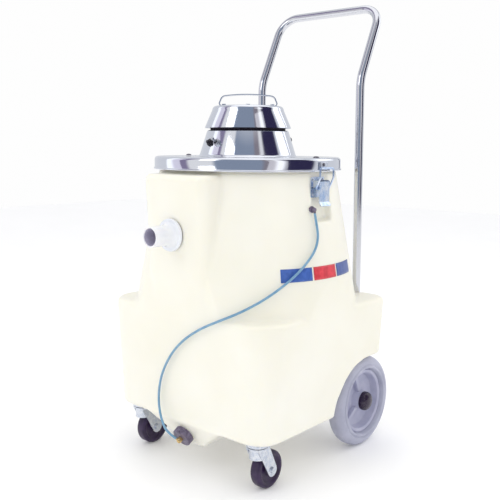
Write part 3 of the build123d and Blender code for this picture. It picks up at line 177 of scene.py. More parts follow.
def studio_world():
    """White walls, with upright dark and mid-grey panels that only reflections pick up.

    Each panel starts at an angle round the machine, in degrees, and ends where the next starts.
    """
    world = bpy.data.worlds.new("studio_world")
    scene.world = world
    world.use_nodes = True
    sky = world.node_tree
    background = sky.nodes["Background"]
    background.inputs["Strength"].default_value = wall_strength
    ray = sky.nodes.new("ShaderNodeLightPath")
    place = sky.nodes.new("ShaderNodeTexCoord")
    split = sky.nodes.new("ShaderNodeSeparateXYZ")
    sky.links.new(place.outputs["Generated"], split.inputs["Vector"])
    turn = sky.nodes.new("ShaderNodeMath")
    turn.operation = "ARCTAN2"
    sky.links.new(split.outputs["Y"], turn.inputs[0])
    sky.links.new(split.outputs["X"], turn.inputs[1])
    round_way = sky.nodes.new("ShaderNodeMapRange")
    round_way.inputs["From Min"].default_value = -math.pi
    round_way.inputs["From Max"].default_value = math.pi
    sky.links.new(turn.outputs["Value"], round_way.inputs["Value"])
    bands = sky.nodes.new("ShaderNodeValToRGB")
    sky.links.new(round_way.outputs["Result"], bands.inputs["Fac"])
    pale, grape, white, slate = (0.84, 0.86, 0.90), (0.30, 0.26, 0.40), (1.0, 1.0, 1.0), (0.30, 0.36, 0.47)
    umber, navy = (0.30, 0.27, 0.31), (0.035, 0.03, 0.085)
    panels = [(-180, pale), (-152, grape), (-126, white), (-90, slate), (-30, umber), (-14, white),
              (-3, navy), (39, pale)]
    stops = [(0.0, pale)]
    for (start, colour), (_, before) in zip(panels[1:], panels):
        stops += [((start - panel_soft + 180) / 360, before), ((start + panel_soft + 180) / 360, colour)]
    ramp = bands.color_ramp
    while len(ramp.elements) < len(stops):
        ramp.elements.new(0.5)
    for element, (position, colour) in zip(ramp.elements, stops):
        element.position = position
        element.color = (*colour, 1.0)
    rise = sky.nodes.new("ShaderNodeMapRange")
    rise.inputs["From Min"].default_value = ceiling_from
    rise.inputs["From Max"].default_value = ceiling_to
    sky.links.new(split.outputs["Z"], rise.inputs["Value"])
    ceiling = sky.nodes.new("ShaderNodeMix")
    ceiling.data_type = "RGBA"
    ceiling.inputs["B"].default_value = (*ceiling_white, 1.0)
    sky.links.new(rise.outputs["Result"], ceiling.inputs["Factor"])
    sky.links.new(bands.outputs["Color"], ceiling.inputs["A"])
    mix = sky.nodes.new("ShaderNodeMix")
    mix.data_type = "RGBA"
    mix.inputs["A"].default_value = (*wall_white, 1.0)
    sky.links.new(ray.outputs["Is Glossy Ray"], mix.inputs["Factor"])
    sky.links.new(ceiling.outputs["Result"], mix.inputs["B"])
    sky.links.new(mix.outputs["Result"], background.inputs["Color"])


studio_world()
scene.view_settings.view_transform = "Standard"


# ---------------------------------------------------------------- level tube
# A thin flexible tube that shows the liquid's level. It leaves a fitting beside the latch,
# lies down the side and round the front of the body, and ends at the drain's elbow.
tube_route = [
    (0.2118, -0.0504, 0.5451), (0.215, -0.0485, 0.525), (0.220, -0.048, 0.498), (0.223, -0.061, 0.473),
    (0.221, -0.085, 0.450), (0.213, -0.115, 0.425), (0.200, -0.148, 0.402), (0.182, -0.179, 0.381),
    (0.154, -0.209, 0.360), (0.122, -0.234, 0.343), (0.092, -0.237, 0.329), (0.062, -0.234, 0.313),
    (0.028, -0.231, 0.292), (-0.003, -0.230, 0.265), (-0.028, -0.229, 0.233), (-0.047, -0.227, 0.199),
    (-0.057, -0.225, 0.165), (-0.056, -0.226, 0.134), (-0.040, -0.233, 0.108), (-0.019, -0.2365, 0.087),
    (-0.0047, -0.2235, 0.0745)]
tube_radius = 0.0025


def level_tube():
    curve = bpy.data.curves.new("level_tube_line", "CURVE")
    curve.dimensions = "3D"
    curve.bevel_depth = tube_radius
    curve.bevel_resolution = 5
    curve.resolution_u = 8
    line = curve.splines.new("NURBS")
    line.points.add(len(tube_route) - 1)
    for point, place in zip(line.points, tube_route):
        point.co = (*place, 1.0)
    line.order_u = 3
    line.use_endpoint_u = True
    piece = bpy.data.objects.new("level_tube_line", curve)
    scene.collection.objects.link(piece)
    material, shader = new_material("blue_tube", (0.20, 0.40, 0.60), 0.28)
    shader.inputs["Transmission Weight"].default_value = 0.25
    shader.inputs["IOR"].default_value = 1.45
    shader.inputs["Coat Weight"].default_value = 0.3
    cloud = object_noise(material, 60.0)
    ramp_into(material, cloud, shader.inputs["Base Color"], (0.14, 0.33, 0.54), (0.27, 0.48, 0.67))
    curve.materials.append(material)
    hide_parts("level_tube")
    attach(piece, "tank")


level_tube()


# ---------------------------------------------------------------- moulded body
# One hollow polyethylene moulding holds both tanks. It is turned in a hot mould, so every
# edge is soft, the wall is a little wavy, and the skin has a fine orange-peel grain.
def evaluated_copy(piece, name):
    """The piece's mesh with its modifiers applied, as a new piece; the old one is removed."""
    bpy.context.view_layer.update()
    graph = bpy.context.evaluated_depsgraph_get()
    mesh = bpy.data.meshes.new_from_object(piece.evaluated_get(graph), depsgraph=graph)
    mesh.name = name
    bpy.data.objects.remove(piece)
    return link_mesh(name, mesh)


def smooth_shading(mesh, angle=35.0):
    mesh.shade_smooth()
    mesh.set_sharp_from_angle(angle=math.radians(angle))


skin_voxel = 0.0035
soften_steps = 14
kept_share = 0.36


def moulded_body():
    mesh = nodes["tank_body"].data.copy()
    mesh.materials.clear()
    bm = bmesh.new()
    bm.from_mesh(mesh)
    bmesh.ops.remove_doubles(bm, verts=bm.verts, dist=0.00001)
    bm.to_mesh(mesh)
    bm.free()
    rough = link_mesh("rough_body", mesh)
    remesh = rough.modifiers.new("skin", "REMESH")
    remesh.mode = "VOXEL"
    remesh.voxel_size = skin_voxel
    soften = rough.modifiers.new("soften", "SMOOTH")
    soften.factor = 0.5
    soften.iterations = soften_steps
    thin = rough.modifiers.new("thin", "DECIMATE")
    thin.ratio = kept_share
    piece = evaluated_copy(rough, "moulded_body")
    piece.data.shade_smooth()
    material, shader = new_material("ivory_polyethylene", (0.90, 0.87, 0.76), 0.38)
    shader.inputs["Subsurface Weight"].default_value = 0.18
    shader.inputs["Subsurface Radius"].default_value = (0.020, 0.017, 0.010)
    shader.inputs["Subsurface Scale"].default_value = 0.6
    shader.inputs["IOR"].default_value = 1.5
    shader.inputs["Coat Weight"].default_value = 0.15
    shader.inputs["Coat Roughness"].default_value = 0.22
    cloud = object_noise(material, 4.0, detail=3.0)
    ramp_into(material, cloud, shader.inputs["Base Color"], (0.87, 0.84, 0.72), (0.92, 0.90, 0.81))
    peel = object_noise(material, 520.0, detail=2.0)
    ramp_into(material, peel, shader.inputs["Roughness"], 0.30, 0.46)
    bump_from(material, shader, peel, 0.10, 0.0004)
    piece.data.materials.append(material)
    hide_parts("tank_body")
    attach(piece, "tank")
    nodes["tank_divider"].data.materials.clear()
    nodes["tank_divider"].data.materials.append(material)


moulded_body()


# ---------------------------------------------------------------- side band
# A plain film band of three fields on the right side, with no lettering. It is cut from
# thin vinyl, and follows the cone of the body closely.
band_z = 0.426
band_height = 0.026
band_lift = 0.0006
film_thickness = 0.0003
cast_from = 0.4


def side_band():
    axis_y = (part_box("motor_housing")[0].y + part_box("motor_housing")[1].y) / 2
    target = bpy.data.objects["moulded_body"]
    graph = bpy.context.evaluated_depsgraph_get()
    fields = [("band_blue", (0.03, 0.10, 0.40), -32.0, -14.0),
              ("band_red", (0.62, 0.03, 0.05), -13.0, 4.0),
              ("band_navy", (0.05, 0.09, 0.30), 5.0, 22.0)]
    for name, colour, start, end in fields:
        bm = bmesh.new()
        bmesh.ops.create_grid(bm, x_segments=20, y_segments=6, size=0.5)
        for vertex in bm.verts:
            turn = math.radians(start + (vertex.co.x + 0.5) * (end - start))
            rise = band_z + band_height * vertex.co.y
            outside = Vector((cast_from * math.cos(turn), axis_y + cast_from * math.sin(turn), rise))
            inward = Vector((-math.cos(turn), -math.sin(turn), 0.0))
            hit, normal = target.ray_cast(outside, inward, depsgraph=graph)[1:3]
            vertex.co = hit + band_lift * normal
        bmesh.ops.recalc_face_normals(bm, faces=bm.faces)
        if sum(face.normal.x for face in bm.faces) < 0:
            bmesh.ops.reverse_faces(bm, faces=bm.faces)
        mesh = bpy.data.meshes.new(name)
        bm.to_mesh(mesh)
        bm.free()
        mesh.shade_smooth()
        piece = link_mesh(name, mesh)
        film = piece.modifiers.new("film", "SOLIDIFY")
        film.thickness = film_thickness
        film.offset = -1.0
        material, shader = new_material(name, colour, 0.35)
        fade = object_noise(material, 90.0)
        ramp_into(material, fade, shader.inputs["Base Color"], tuple(c * 0.85 for c in colour),
                  tuple(min(1.0, c * 1.2 + 0.02) for c in colour))
        mesh.materials.append(material)
        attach(piece, "tank")


side_band()


# ---------------------------------------------------------------- lid
# A pressed cover, polished to a mirror, with a rounded edge and a rolled bead round its
# skirt. A keeper on each side hooks the latch loop, and a round-headed screw holds it.
lid_low, lid_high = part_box("lid")
axis_y = (lid_low.y + lid_high.y) / 2


def spun(name, outline, steps=128, place=Matrix.Identity(4), sharp=35.0):
    """A closed outline of (radius, height) spun about Z, then put in its place."""
    bm = bmesh.new()
    verts = [bm.verts.new((radius, 0.0, height)) for radius, height in outline]
    edges = [bm.edges.new((a, b)) for a, b in zip(verts, verts[1:] + verts[:1])
             if not (a.co.x < 1e-7 and b.co.x < 1e-7)]
    bmesh.ops.spin(bm, geom=verts + edges, axis=(0, 0, 1), cent=(0, 0, 0), angle=2 * math.pi,
                   steps=steps, use_merge=True)
    bmesh.ops.remove_doubles(bm, verts=bm.verts, dist=0.000001)
    bmesh.ops.recalc_face_normals(bm, faces=bm.faces)
    bmesh.ops.transform(bm, matrix=place, verts=bm.verts)
    mesh = bpy.data.meshes.new(name)
    bm.to_mesh(mesh)
    bm.free()
    smooth_shading(mesh, sharp)
    return link_mesh(name, mesh)


def arc(centre, radius, start, end, count):
    """Points of a round stretch in an outline, with angles in degrees."""
    return [(centre[0] + radius * math.cos(math.radians(start + (end - start) * k / count)),
             centre[1] + radius * math.sin(math.radians(start + (end - start) * k / count)))
            for k in range(count + 1)]


def mirror_metal(name="mirror_metal", colour=(0.72, 0.74, 0.80), roughness=0.07):
    material, shader = new_material(name, colour, roughness, 1.0)
    haze = object_noise(material, 9.0, detail=3.0)
    ramp_into(material, haze, shader.inputs["Roughness"], roughness * 0.7, roughness * 1.6)
    lines = object_noise(material, 30.0, detail=2.0, stretch=(1.0, 1.0, 12.0))
    bump_from(material, shader, lines, 0.04, 0.0003)
    return material


polished = mirror_metal()


def metal_lid():
    outer = 0.2037
    top = lid_high.z
    skirt = lid_low.z
    skin = 0.0016
    edge = 0.007
    port = 0.026
    bead = 0.0021
    groove, groove_half, groove_depth = 0.114, 0.002, 0.0006
    outline = [(port, top - skin), (port, top), (groove - groove_half, top)]
    outline += [(groove, top - groove_depth), (groove + groove_half, top)]
    outline += arc((outer - edge, top - edge), edge, 90.0, 0.0, 8)
    outline += [(outer, skirt + 0.0048)]
    outline += arc((outer - 0.0002, skirt + 0.0022), bead, 75.0, -165.0, 12)
    outline += [(outer - skin, skirt + 0.0062)]
    outline += arc((outer - edge, top - edge), edge - skin, 0.0, 90.0, 8)
    piece = spun("metal_lid", outline, 192, Matrix.Translation((0.0, axis_y, 0.0)))
    piece.data.materials.append(polished)
    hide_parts("lid")
    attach(piece, "lid")


metal_lid()


# ---------------------------------------------------------------- keepers
# Folded steel hooks for the latch loops, one on each side of the lid. A round-headed
# screw through the lid's top and a rivet through its skirt hold each one.
def zinc_plate(name="zinc_plate", colour=(0.62, 0.66, 0.74), roughness=0.22):
    material, shader = new_material(name, colour, roughness, 1.0)
    spangle = object_noise(material, 180.0, detail=3.0)
    ramp_into(material, spangle, shader.inputs["Base Color"], (0.50, 0.55, 0.66), (0.74, 0.76, 0.80))
    wear = object_noise(material, 45.0)
    ramp_into(material, wear, shader.inputs["Roughness"], 0.14, 0.34)
    bump_from(material, shader, spangle, 0.08, 0.0002)
    return material


zinc = zinc_plate()


def add_box(bm, low, high):
    """A plain block between two corners, for bevelling or joining to others."""
    made = bmesh.ops.create_cube(bm, size=1.0)
    size = Vector(high) - Vector(low)
    bmesh.ops.scale(bm, vec=size, verts=made["verts"])
    bmesh.ops.translate(bm, vec=(Vector(low) + Vector(high)) / 2, verts=made["verts"])
    return made["verts"]


def finish_piece(name, bm, material, body, replaced=(), bevel=0.0, sharp=35.0, segments=2):
    bmesh.ops.recalc_face_normals(bm, faces=bm.faces)
    mesh = bpy.data.meshes.new(name)
    bm.to_mesh(mesh)
    bm.free()
    piece = link_mesh(name, mesh)
    if bevel:
        edge = piece.modifiers.new("edge", "BEVEL")
        edge.width = bevel
        edge.segments = segments
        edge.limit_method = "ANGLE"
        edge.angle_limit = math.radians(30)
        piece = evaluated_copy(piece, name)
    smooth_shading(piece.data, sharp)
    piece.data.materials.append(material)
    if replaced:
        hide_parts(*replaced)
    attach(piece, body)
    return piece


def round_head(bm, place, radius, height, count=24):
    """A domed rivet or screw head whose flat side is at the place and whose dome is along Z."""
    made = bmesh.ops.create_uvsphere(bm, u_segments=count, v_segments=12, radius=radius)
    verts = made["verts"]
    cut = bmesh.ops.bisect_plane(bm, geom=verts + list({e for v in verts for e in v.link_edges})
                                 + list({f for v in verts for f in v.link_faces}),
                                 plane_co=(0, 0, 0), plane_no=(0, 0, 1), clear_inner=True)
    rim = [g for g in cut["geom_cut"] if isinstance(g, bmesh.types.BMEdge)]
    bmesh.ops.contextual_create(bm, geom=rim)
    kept = [v for v in verts if v.is_valid] + [g for g in cut["geom_cut"]
                                                if isinstance(g, bmesh.types.BMVert)]
    kept = list(set(kept))
    bmesh.ops.scale(bm, vec=(1.0, 1.0, height / radius), verts=kept)
    bmesh.ops.transform(bm, matrix=place, verts=kept)


keeper_low = 0.629
keeper_half = 0.015
keeper_back = 0.0070
keeper_face = 0.0052
keeper_sheet = 0.002
keeper_lip = 0.0035
keeper_top_gap = 0.008
keeper_screw_x = 0.186


def keepers():
    lip_x = lid_high.x
    bm = bmesh.new()
    heads = bmesh.new()
    for side in (-1, 1):
        def corner(x, y, z):
            return (side * x, axis_y + y, z)
        low = keeper_low
        half = keeper_half
        back = lip_x - keeper_back
        plates = [((back, -half, low), (lip_x - keeper_face, half, lid_high.z - keeper_top_gap)),
                  ((back, -half, low), (lip_x, half, low + keeper_sheet)),
                  ((lip_x - keeper_sheet, -half, low), (lip_x, half, low + keeper_lip))]
        for a, b in plates:
            first, second = corner(*a), corner(*b)
            lowest = tuple(min(p, q) for p, q in zip(first, second))
            highest = tuple(max(p, q) for p, q in zip(first, second))
            add_box(bm, lowest, highest)
        place = Matrix.Translation(corner(keeper_screw_x, 0.0, lid_high.z))
        round_head(heads, place, 0.0065, 0.0035)
        rivet = Matrix.Translation(corner(lip_x - keeper_face, 0.0, low + 0.012))
        rivet = rivet @ Matrix.Rotation(side * math.pi / 2, 4, "Y")
        round_head(heads, rivet, 0.004, 0.002)
    finish_piece("lid_keepers", bm, zinc, "lid", bevel=0.0005)
    dark, shader = new_material("dark_rivet", (0.16, 0.15, 0.18), 0.35, 0.9)
    rub = object_noise(dark, 200.0)
    ramp_into(dark, rub, shader.inputs["Roughness"], 0.25, 0.5)
    finish_piece("lid_rivets", heads, dark, "lid")


keepers()


# ---------------------------------------------------------------- motor head
# Two spun and polished covers: a cone with a small flare where it meets the lid, and a
# cap that overhangs it. The motor's air leaves through the dark gap between them.
def motor_covers():
    low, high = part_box("motor_housing")
    foot = high.x
    top = 0.089
    port = 0.047
    lean = (foot - 0.004 - top) / (high.z - low.z - 0.004)
    outline = [(foot, low.z), (foot - 0.0004, low.z + 0.0008)]
    outline += [(foot - 0.0022, low.z + 0.0018), (foot - 0.0034, low.z + 0.0032)]
    outline += [(foot - 0.0044, low.z + 0.0052)]
    outline += [(top + lean * 0.0025, high.z - 0.0025), (top - 0.0004, high.z - 0.0007)]
    outline += [(top - 0.0018, high.z), (port, high.z), (port, high.z - 0.002)]
    outline += [(top - 0.0030, high.z - 0.002), (foot - 0.0065, low.z + 0.004), (foot - 0.0025, low.z)]
    cone = spun("motor_cone", outline, 160, Matrix.Translation((0.0, axis_y, 0.0)), 40.0)
    cone.data.materials.append(polished)
    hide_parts("motor_housing")
    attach(cone, "lid")
    low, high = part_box("motor_cap")
    foot = high.x
    edge = 0.0085
    crown = 0.0775
    lean = (foot - crown) / (high.z - low.z - edge)
    shoulder = crown + 0.0008
    outline = [(foot, low.z), (foot, low.z + 0.0012)]
    outline += [(shoulder + lean * 0.002, high.z - edge - 0.002)]
    outline += arc((shoulder - edge, high.z - edge), edge, 12.0, 90.0, 10)
    outline += [(0.0, high.z), (0.0, high.z - 0.0018)]
    outline += arc((shoulder - edge, high.z - edge), edge - 0.0018, 90.0, 12.0, 8)
    outline += [(foot - 0.002, low.z + 0.0012), (foot - 0.002, low.z)]
    cap = spun("motor_crown", outline, 160, Matrix.Translation((0.0, axis_y, 0.0)), 40.0)
    cap.data.materials.append(polished)
    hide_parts("motor_cap")
    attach(cap, "lid")


motor_covers()


# ---------------------------------------------------------------- bail handle
# A flat chromed strap with its two feet screwed through the cap into posts, and a low
# arch between them for the hand that lifts the lid off.
def bail_handle():
    low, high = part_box("bail_handle")
    turn = math.radians(41.0)
    leg = 0.063
    hip = 0.058
    foot = 0.018
    width = 0.018
    half_strap = 0.0012
    foot_bend = 0.0046
    hip_bend = 0.0125
    foot_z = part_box("motor_cap")[1].z + half_strap
    arch = high.z - half_strap
    stations = [(leg - foot, foot_z), (leg - foot_bend, foot_z)]
    stations += arc((leg - foot_bend, foot_z + foot_bend), foot_bend, -90.0, 14.0, 7)
    stations += arc((hip - 0.0098, arch - 0.0155), hip_bend, 14.0, 82.0, 9)
    crown = (arch - stations[-1][1])
    reach = stations[-1][0]
    stations += [(reach * (1 - k / 6), arch - crown * (1 - k / 6) ** 2) for k in range(1, 7)]
    stations += [(-x, z) for x, z in reversed(stations[:-1])]
    bm = bmesh.new()
    line = [bm.verts.new((x, -width / 2, z)) for x, z in stations]
    edges = [bm.edges.new(pair) for pair in zip(line, line[1:])]
    bmesh.ops.extrude_edge_only(bm, edges=edges)
    new = [v for v in bm.verts if v not in line]
    bmesh.ops.translate(bm, vec=(0.0, width, 0.0), verts=new)
    bmesh.ops.rotate(bm, cent=(0, 0, 0), matrix=Matrix.Rotation(turn, 3, "Z"), verts=bm.verts)
    bmesh.ops.translate(bm, vec=(0.0, axis_y, 0.0), verts=bm.verts)
    mesh = bpy.data.meshes.new("bail_strap")
    bm.to_mesh(mesh)
    bm.free()
    rough = link_mesh("rough_strap", mesh)
    thick = rough.modifiers.new("thick", "SOLIDIFY")
    thick.thickness = 2 * half_strap
    thick.offset = 0.0
    edge = rough.modifiers.new("edge", "BEVEL")
    edge.width = 0.0006
    edge.segments = 2
    edge.angle_limit = math.radians(50)
    strap = evaluated_copy(rough, "bail_strap")
    smooth_shading(strap.data, 40.0)
    strap.data.materials.append(polished)
    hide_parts("bail_handle")
    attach(strap, "lid")


bail_handle()


# ---------------------------------------------------------------- gap shade ring
# A near-black ring stands on the cone's deck inside the cap. It is painted shade: it makes
# the gap between the two covers look dark.
def gap_shade_ring():
    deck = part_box("motor_housing")[1].z
    inner, outer = 0.0795, 0.0825
    foot, crest = deck + 0.0002, deck + 0.016
    outline = [(inner, foot), (outer, foot), (outer, crest), (inner, crest)]
    shade_ring = spun("gap_shade_ring", outline, 96, Matrix.Translation((0.0, axis_y, 0.0)), 40.0)
    # The ring's near-black colour is painted shade for the gap between the two covers.
    material, shader = new_material("painted_gap_shade", (0.016, 0.011, 0.026), 0.85)
    shade_ring_grain = object_noise(material, 900.0, detail=2.0)
    ramp_into(material, shade_ring_grain, shader.inputs["Base Color"], (0.008, 0.005, 0.014), (0.035, 0.025, 0.05))
    bump_from(material, shader, shade_ring_grain, 0.5, 0.0006)
    shade_ring.data.materials.append(material)
    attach(shade_ring, "lid")


gap_shade_ring()


# ---------------------------------------------------------------- posts, screws and controls
# Turned posts hold the cap off the cone. The toggle switch and the breaker pass through the
# cone's wall with a nut each, and a moulded gland guides the lead at the back.
def carry(material, *names):
    """Give a carried-over CAD piece its finish."""
    for name in names:
        mesh = nodes[name].data
        mesh.materials.clear()
        mesh.materials.append(material)


def turned_steel():
    material, shader = new_material("turned_steel", (0.58, 0.59, 0.62), 0.28, 1.0)
    rings = object_noise(material, 40.0, detail=2.0, stretch=(1.0, 1.0, 20.0))
    ramp_into(material, rings, shader.inputs["Roughness"], 0.18, 0.42)
    bump_from(material, shader, rings, 0.05, 0.0002)
    return material


def black_plastic():
    material, shader = new_material("black_plastic", (0.028, 0.024, 0.034), 0.42)
    grain = object_noise(material, 700.0, detail=2.0)
    ramp_into(material, grain, shader.inputs["Roughness"], 0.32, 0.55)
    bump_from(material, shader, grain, 0.15, 0.0002)
    return material


steel = turned_steel()
black = black_plastic()
carry(steel, "cap_posts", "toggle_switch", "toggle_lever", "axle")
carry(steel, "motor_rotor", "motor_stator", "pump_motor")
carry(zinc, "cap_screws", "body_screws", "latch_rivets", "handle_clamps", "axle_clamps")
carry(black, "breaker", "breaker_button", "cord_gland", "fill_cap")
carry(black, "pump_switch", "pump_rocker", "pump_head")


# ---------------------------------------------------------------- draw latches
# Plated steel: a riveted base with two ears, a lever that swings out on their pin, and a
# wire loop that reaches up to the keeper. The plating has a faint blue passivation.
def latch_finish():
    material, shader = new_material("blue_zinc", (0.50, 0.60, 0.78), 0.20, 1.0)
    tint = object_noise(material, 55.0, detail=3.0)
    ramp_into(material, tint, shader.inputs["Base Color"], (0.34, 0.48, 0.74), (0.74, 0.78, 0.84))
    scuff = object_noise(material, 240.0, detail=2.0)
    ramp_into(material, scuff, shader.inputs["Roughness"], 0.14, 0.32)
    bump_from(material, shader, scuff, 0.06, 0.0002)
    return material


blue_zinc = latch_finish()
for side in ("left", "right"):
    carry(blue_zinc, "latch_base_" + side, "latch_lever_" + side, "latch_loop_" + side)


# ---------------------------------------------------------------- hose inlet
# A white moulded fitting screwed through the nose: a round flange, a conical root and a
# straight tube whose mouth takes the hose cuff. Its bore is painted a darker lavender grey, as painted
# shade inside the tube.
inlet_reach = 0.058
inlet_spigot = 0.0209


def hose_inlet():
    low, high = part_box("inlet_fitting")
    tip = -low.y
    flange = (high.x - low.x) / 2
    centre_z = (low.z + high.z) / 2
    wall_face = tip - inlet_reach
    place = Matrix.Translation((0.0, 0.0, centre_z)) @ Matrix.Rotation(math.pi / 2, 4, "X")
    tube = 0.0205
    bore = 0.017
    back = -high.y
    outline = [(bore, back), (inlet_spigot, back), (inlet_spigot, wall_face + 0.002)]
    outline += [(flange, wall_face + 0.002)]
    outline += [(flange, wall_face + 0.0055)]
    outline += arc((flange - 0.0025, wall_face + 0.0055), 0.0025, 0.0, 90.0, 5)
    outline += [(0.0275, wall_face + 0.008), (0.0255, wall_face + 0.0092), (0.0232, wall_face + 0.0125)]
    outline += [(0.0215, wall_face + 0.0165), (tube, wall_face + 0.021), (tube, tip - 0.003)]
    outline += arc((tube - 0.0012, tip - 0.0012), 0.0012, 0.0, 90.0, 4)
    outline += [(bore + 0.0012, tip), (bore, tip - 0.0015)]
    piece = spun("inlet_tube", outline, 96, place, 40.0)
    white, shader = new_material("inlet_white", (0.86, 0.86, 0.90), 0.24)
    shader.inputs["Coat Weight"].default_value = 0.25
    shader.inputs["Subsurface Weight"].default_value = 0.08
    shader.inputs["Subsurface Scale"].default_value = 0.3
    cloud = object_noise(white, 35.0)
    ramp_into(white, cloud, shader.inputs["Base Color"], (0.80, 0.80, 0.86), (0.90, 0.90, 0.92))
    fine = object_noise(white, 380.0, detail=2.0)
    bump_from(white, shader, fine, 0.06, 0.0002)
    # The bore's darker lavender grey is painted shade inside the tube, varied a little by noise.
    bore_painted_shade, shader = new_material("inlet_bore_painted_shade", (0.42, 0.40, 0.52), 0.45)
    bore_shade_noise = object_noise(bore_painted_shade, 70.0)
    ramp_into(bore_painted_shade, bore_shade_noise, shader.inputs["Base Color"], (0.36, 0.34, 0.46), (0.50, 0.48, 0.60))
    piece.data.materials.append(white)
    piece.data.materials.append(bore_painted_shade)
    # Faces of the bore get the painted shade material.
    for face in piece.data.polygons:
        side = math.hypot(face.center.x, face.center.z - centre_z)
        face.material_index = 1 if side < bore + 0.0001 else 0
    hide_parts("inlet_fitting")
    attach(piece, "tank")
    carry(white, "inlet_locknut", "float_cage", "float_ball")


hose_inlet()


# ---------------------------------------------------------------- seals
# Cut and moulded rubber rings under the inlet flange, in the drain cap and under the lid.
def seal_rubber():
    material, shader = new_material("seal_rubber", (0.02, 0.02, 0.022), 0.62)
    dust = object_noise(material, 160.0)
    ramp_into(material, dust, shader.inputs["Base Color"], (0.015, 0.015, 0.017), (0.05, 0.05, 0.055))
    bump_from(material, shader, dust, 0.12, 0.0003)
    return material


carry(seal_rubber(), "body_gaskets", "lid_gasket")


# ---------------------------------------------------------------- drain
# A knurled cap of grey-purple plastic on the sump, with a brass swivel elbow through it
# for the level tube. The fitting at the tube's upper end is the same plastic.
def drain_finish():
    material, shader = new_material("drain_plastic", (0.10, 0.08, 0.13), 0.38)
    cloud = object_noise(material, 120.0)
    ramp_into(material, cloud, shader.inputs["Base Color"], (0.055, 0.04, 0.085), (0.20, 0.17, 0.25))
    bump_from(material, shader, cloud, 0.08, 0.0002)
    return material


def turned_brass():
    material, shader = new_material("turned_brass", (0.72, 0.50, 0.20), 0.26, 1.0)
    tarnish = object_noise(material, 150.0)
    ramp_into(material, tarnish, shader.inputs["Base Color"], (0.52, 0.36, 0.16), (0.80, 0.60, 0.28))
    ramp_into(material, tarnish, shader.inputs["Roughness"], 0.18, 0.40)
    return material


carry(drain_finish(), "drain_cap", "tube_fitting")
carry(turned_brass(), "drain_elbow", "solution_coupling")


# ---------------------------------------------------------------- rear wheels
# A light-grey non-marking tyre with a round tread and a bead ring, a dished grey hub with
# three ribs, and a dark domed cap pressed over the axle's end.
def tyre_grey():
    material, shader = new_material("grey_tyre", (0.42, 0.43, 0.54), 0.55)
    cloud = object_noise(material, 22.0)
    ramp_into(material, cloud, shader.inputs["Base Color"], (0.37, 0.38, 0.49), (0.48, 0.49, 0.60))
    fine = object_noise(material, 450.0, detail=2.0)
    ramp_into(material, fine, shader.inputs["Roughness"], 0.45, 0.68)
    bump_from(material, shader, fine, 0.16, 0.0004)
    return material


def hub_grey():
    material, shader = new_material("grey_hub", (0.44, 0.45, 0.58), 0.32)
    cloud = object_noise(material, 30.0)
    ramp_into(material, cloud, shader.inputs["Base Color"], (0.38, 0.39, 0.53), (0.50, 0.50, 0.63))
    fine = object_noise(material, 500.0, detail=2.0)
    bump_from(material, shader, fine, 0.10, 0.0003)
    return material


grey_tyre = tyre_grey()
grey_hub = hub_grey()
hub_black, hub_shader = new_material("hub_black", (0.018, 0.008, 0.030), 0.20)
hub_mark = object_noise(hub_black, 260.0)
ramp_into(hub_black, hub_mark, hub_shader.inputs["Roughness"], 0.16, 0.34)


hub_rim = 0.072
hub_bore = 0.0064
hub_inner_x = 0.156
hub_ribs = 3
hub_rib_turn = 73.0
hub_rib_half = 0.0045
hub_rib_crest = 0.006


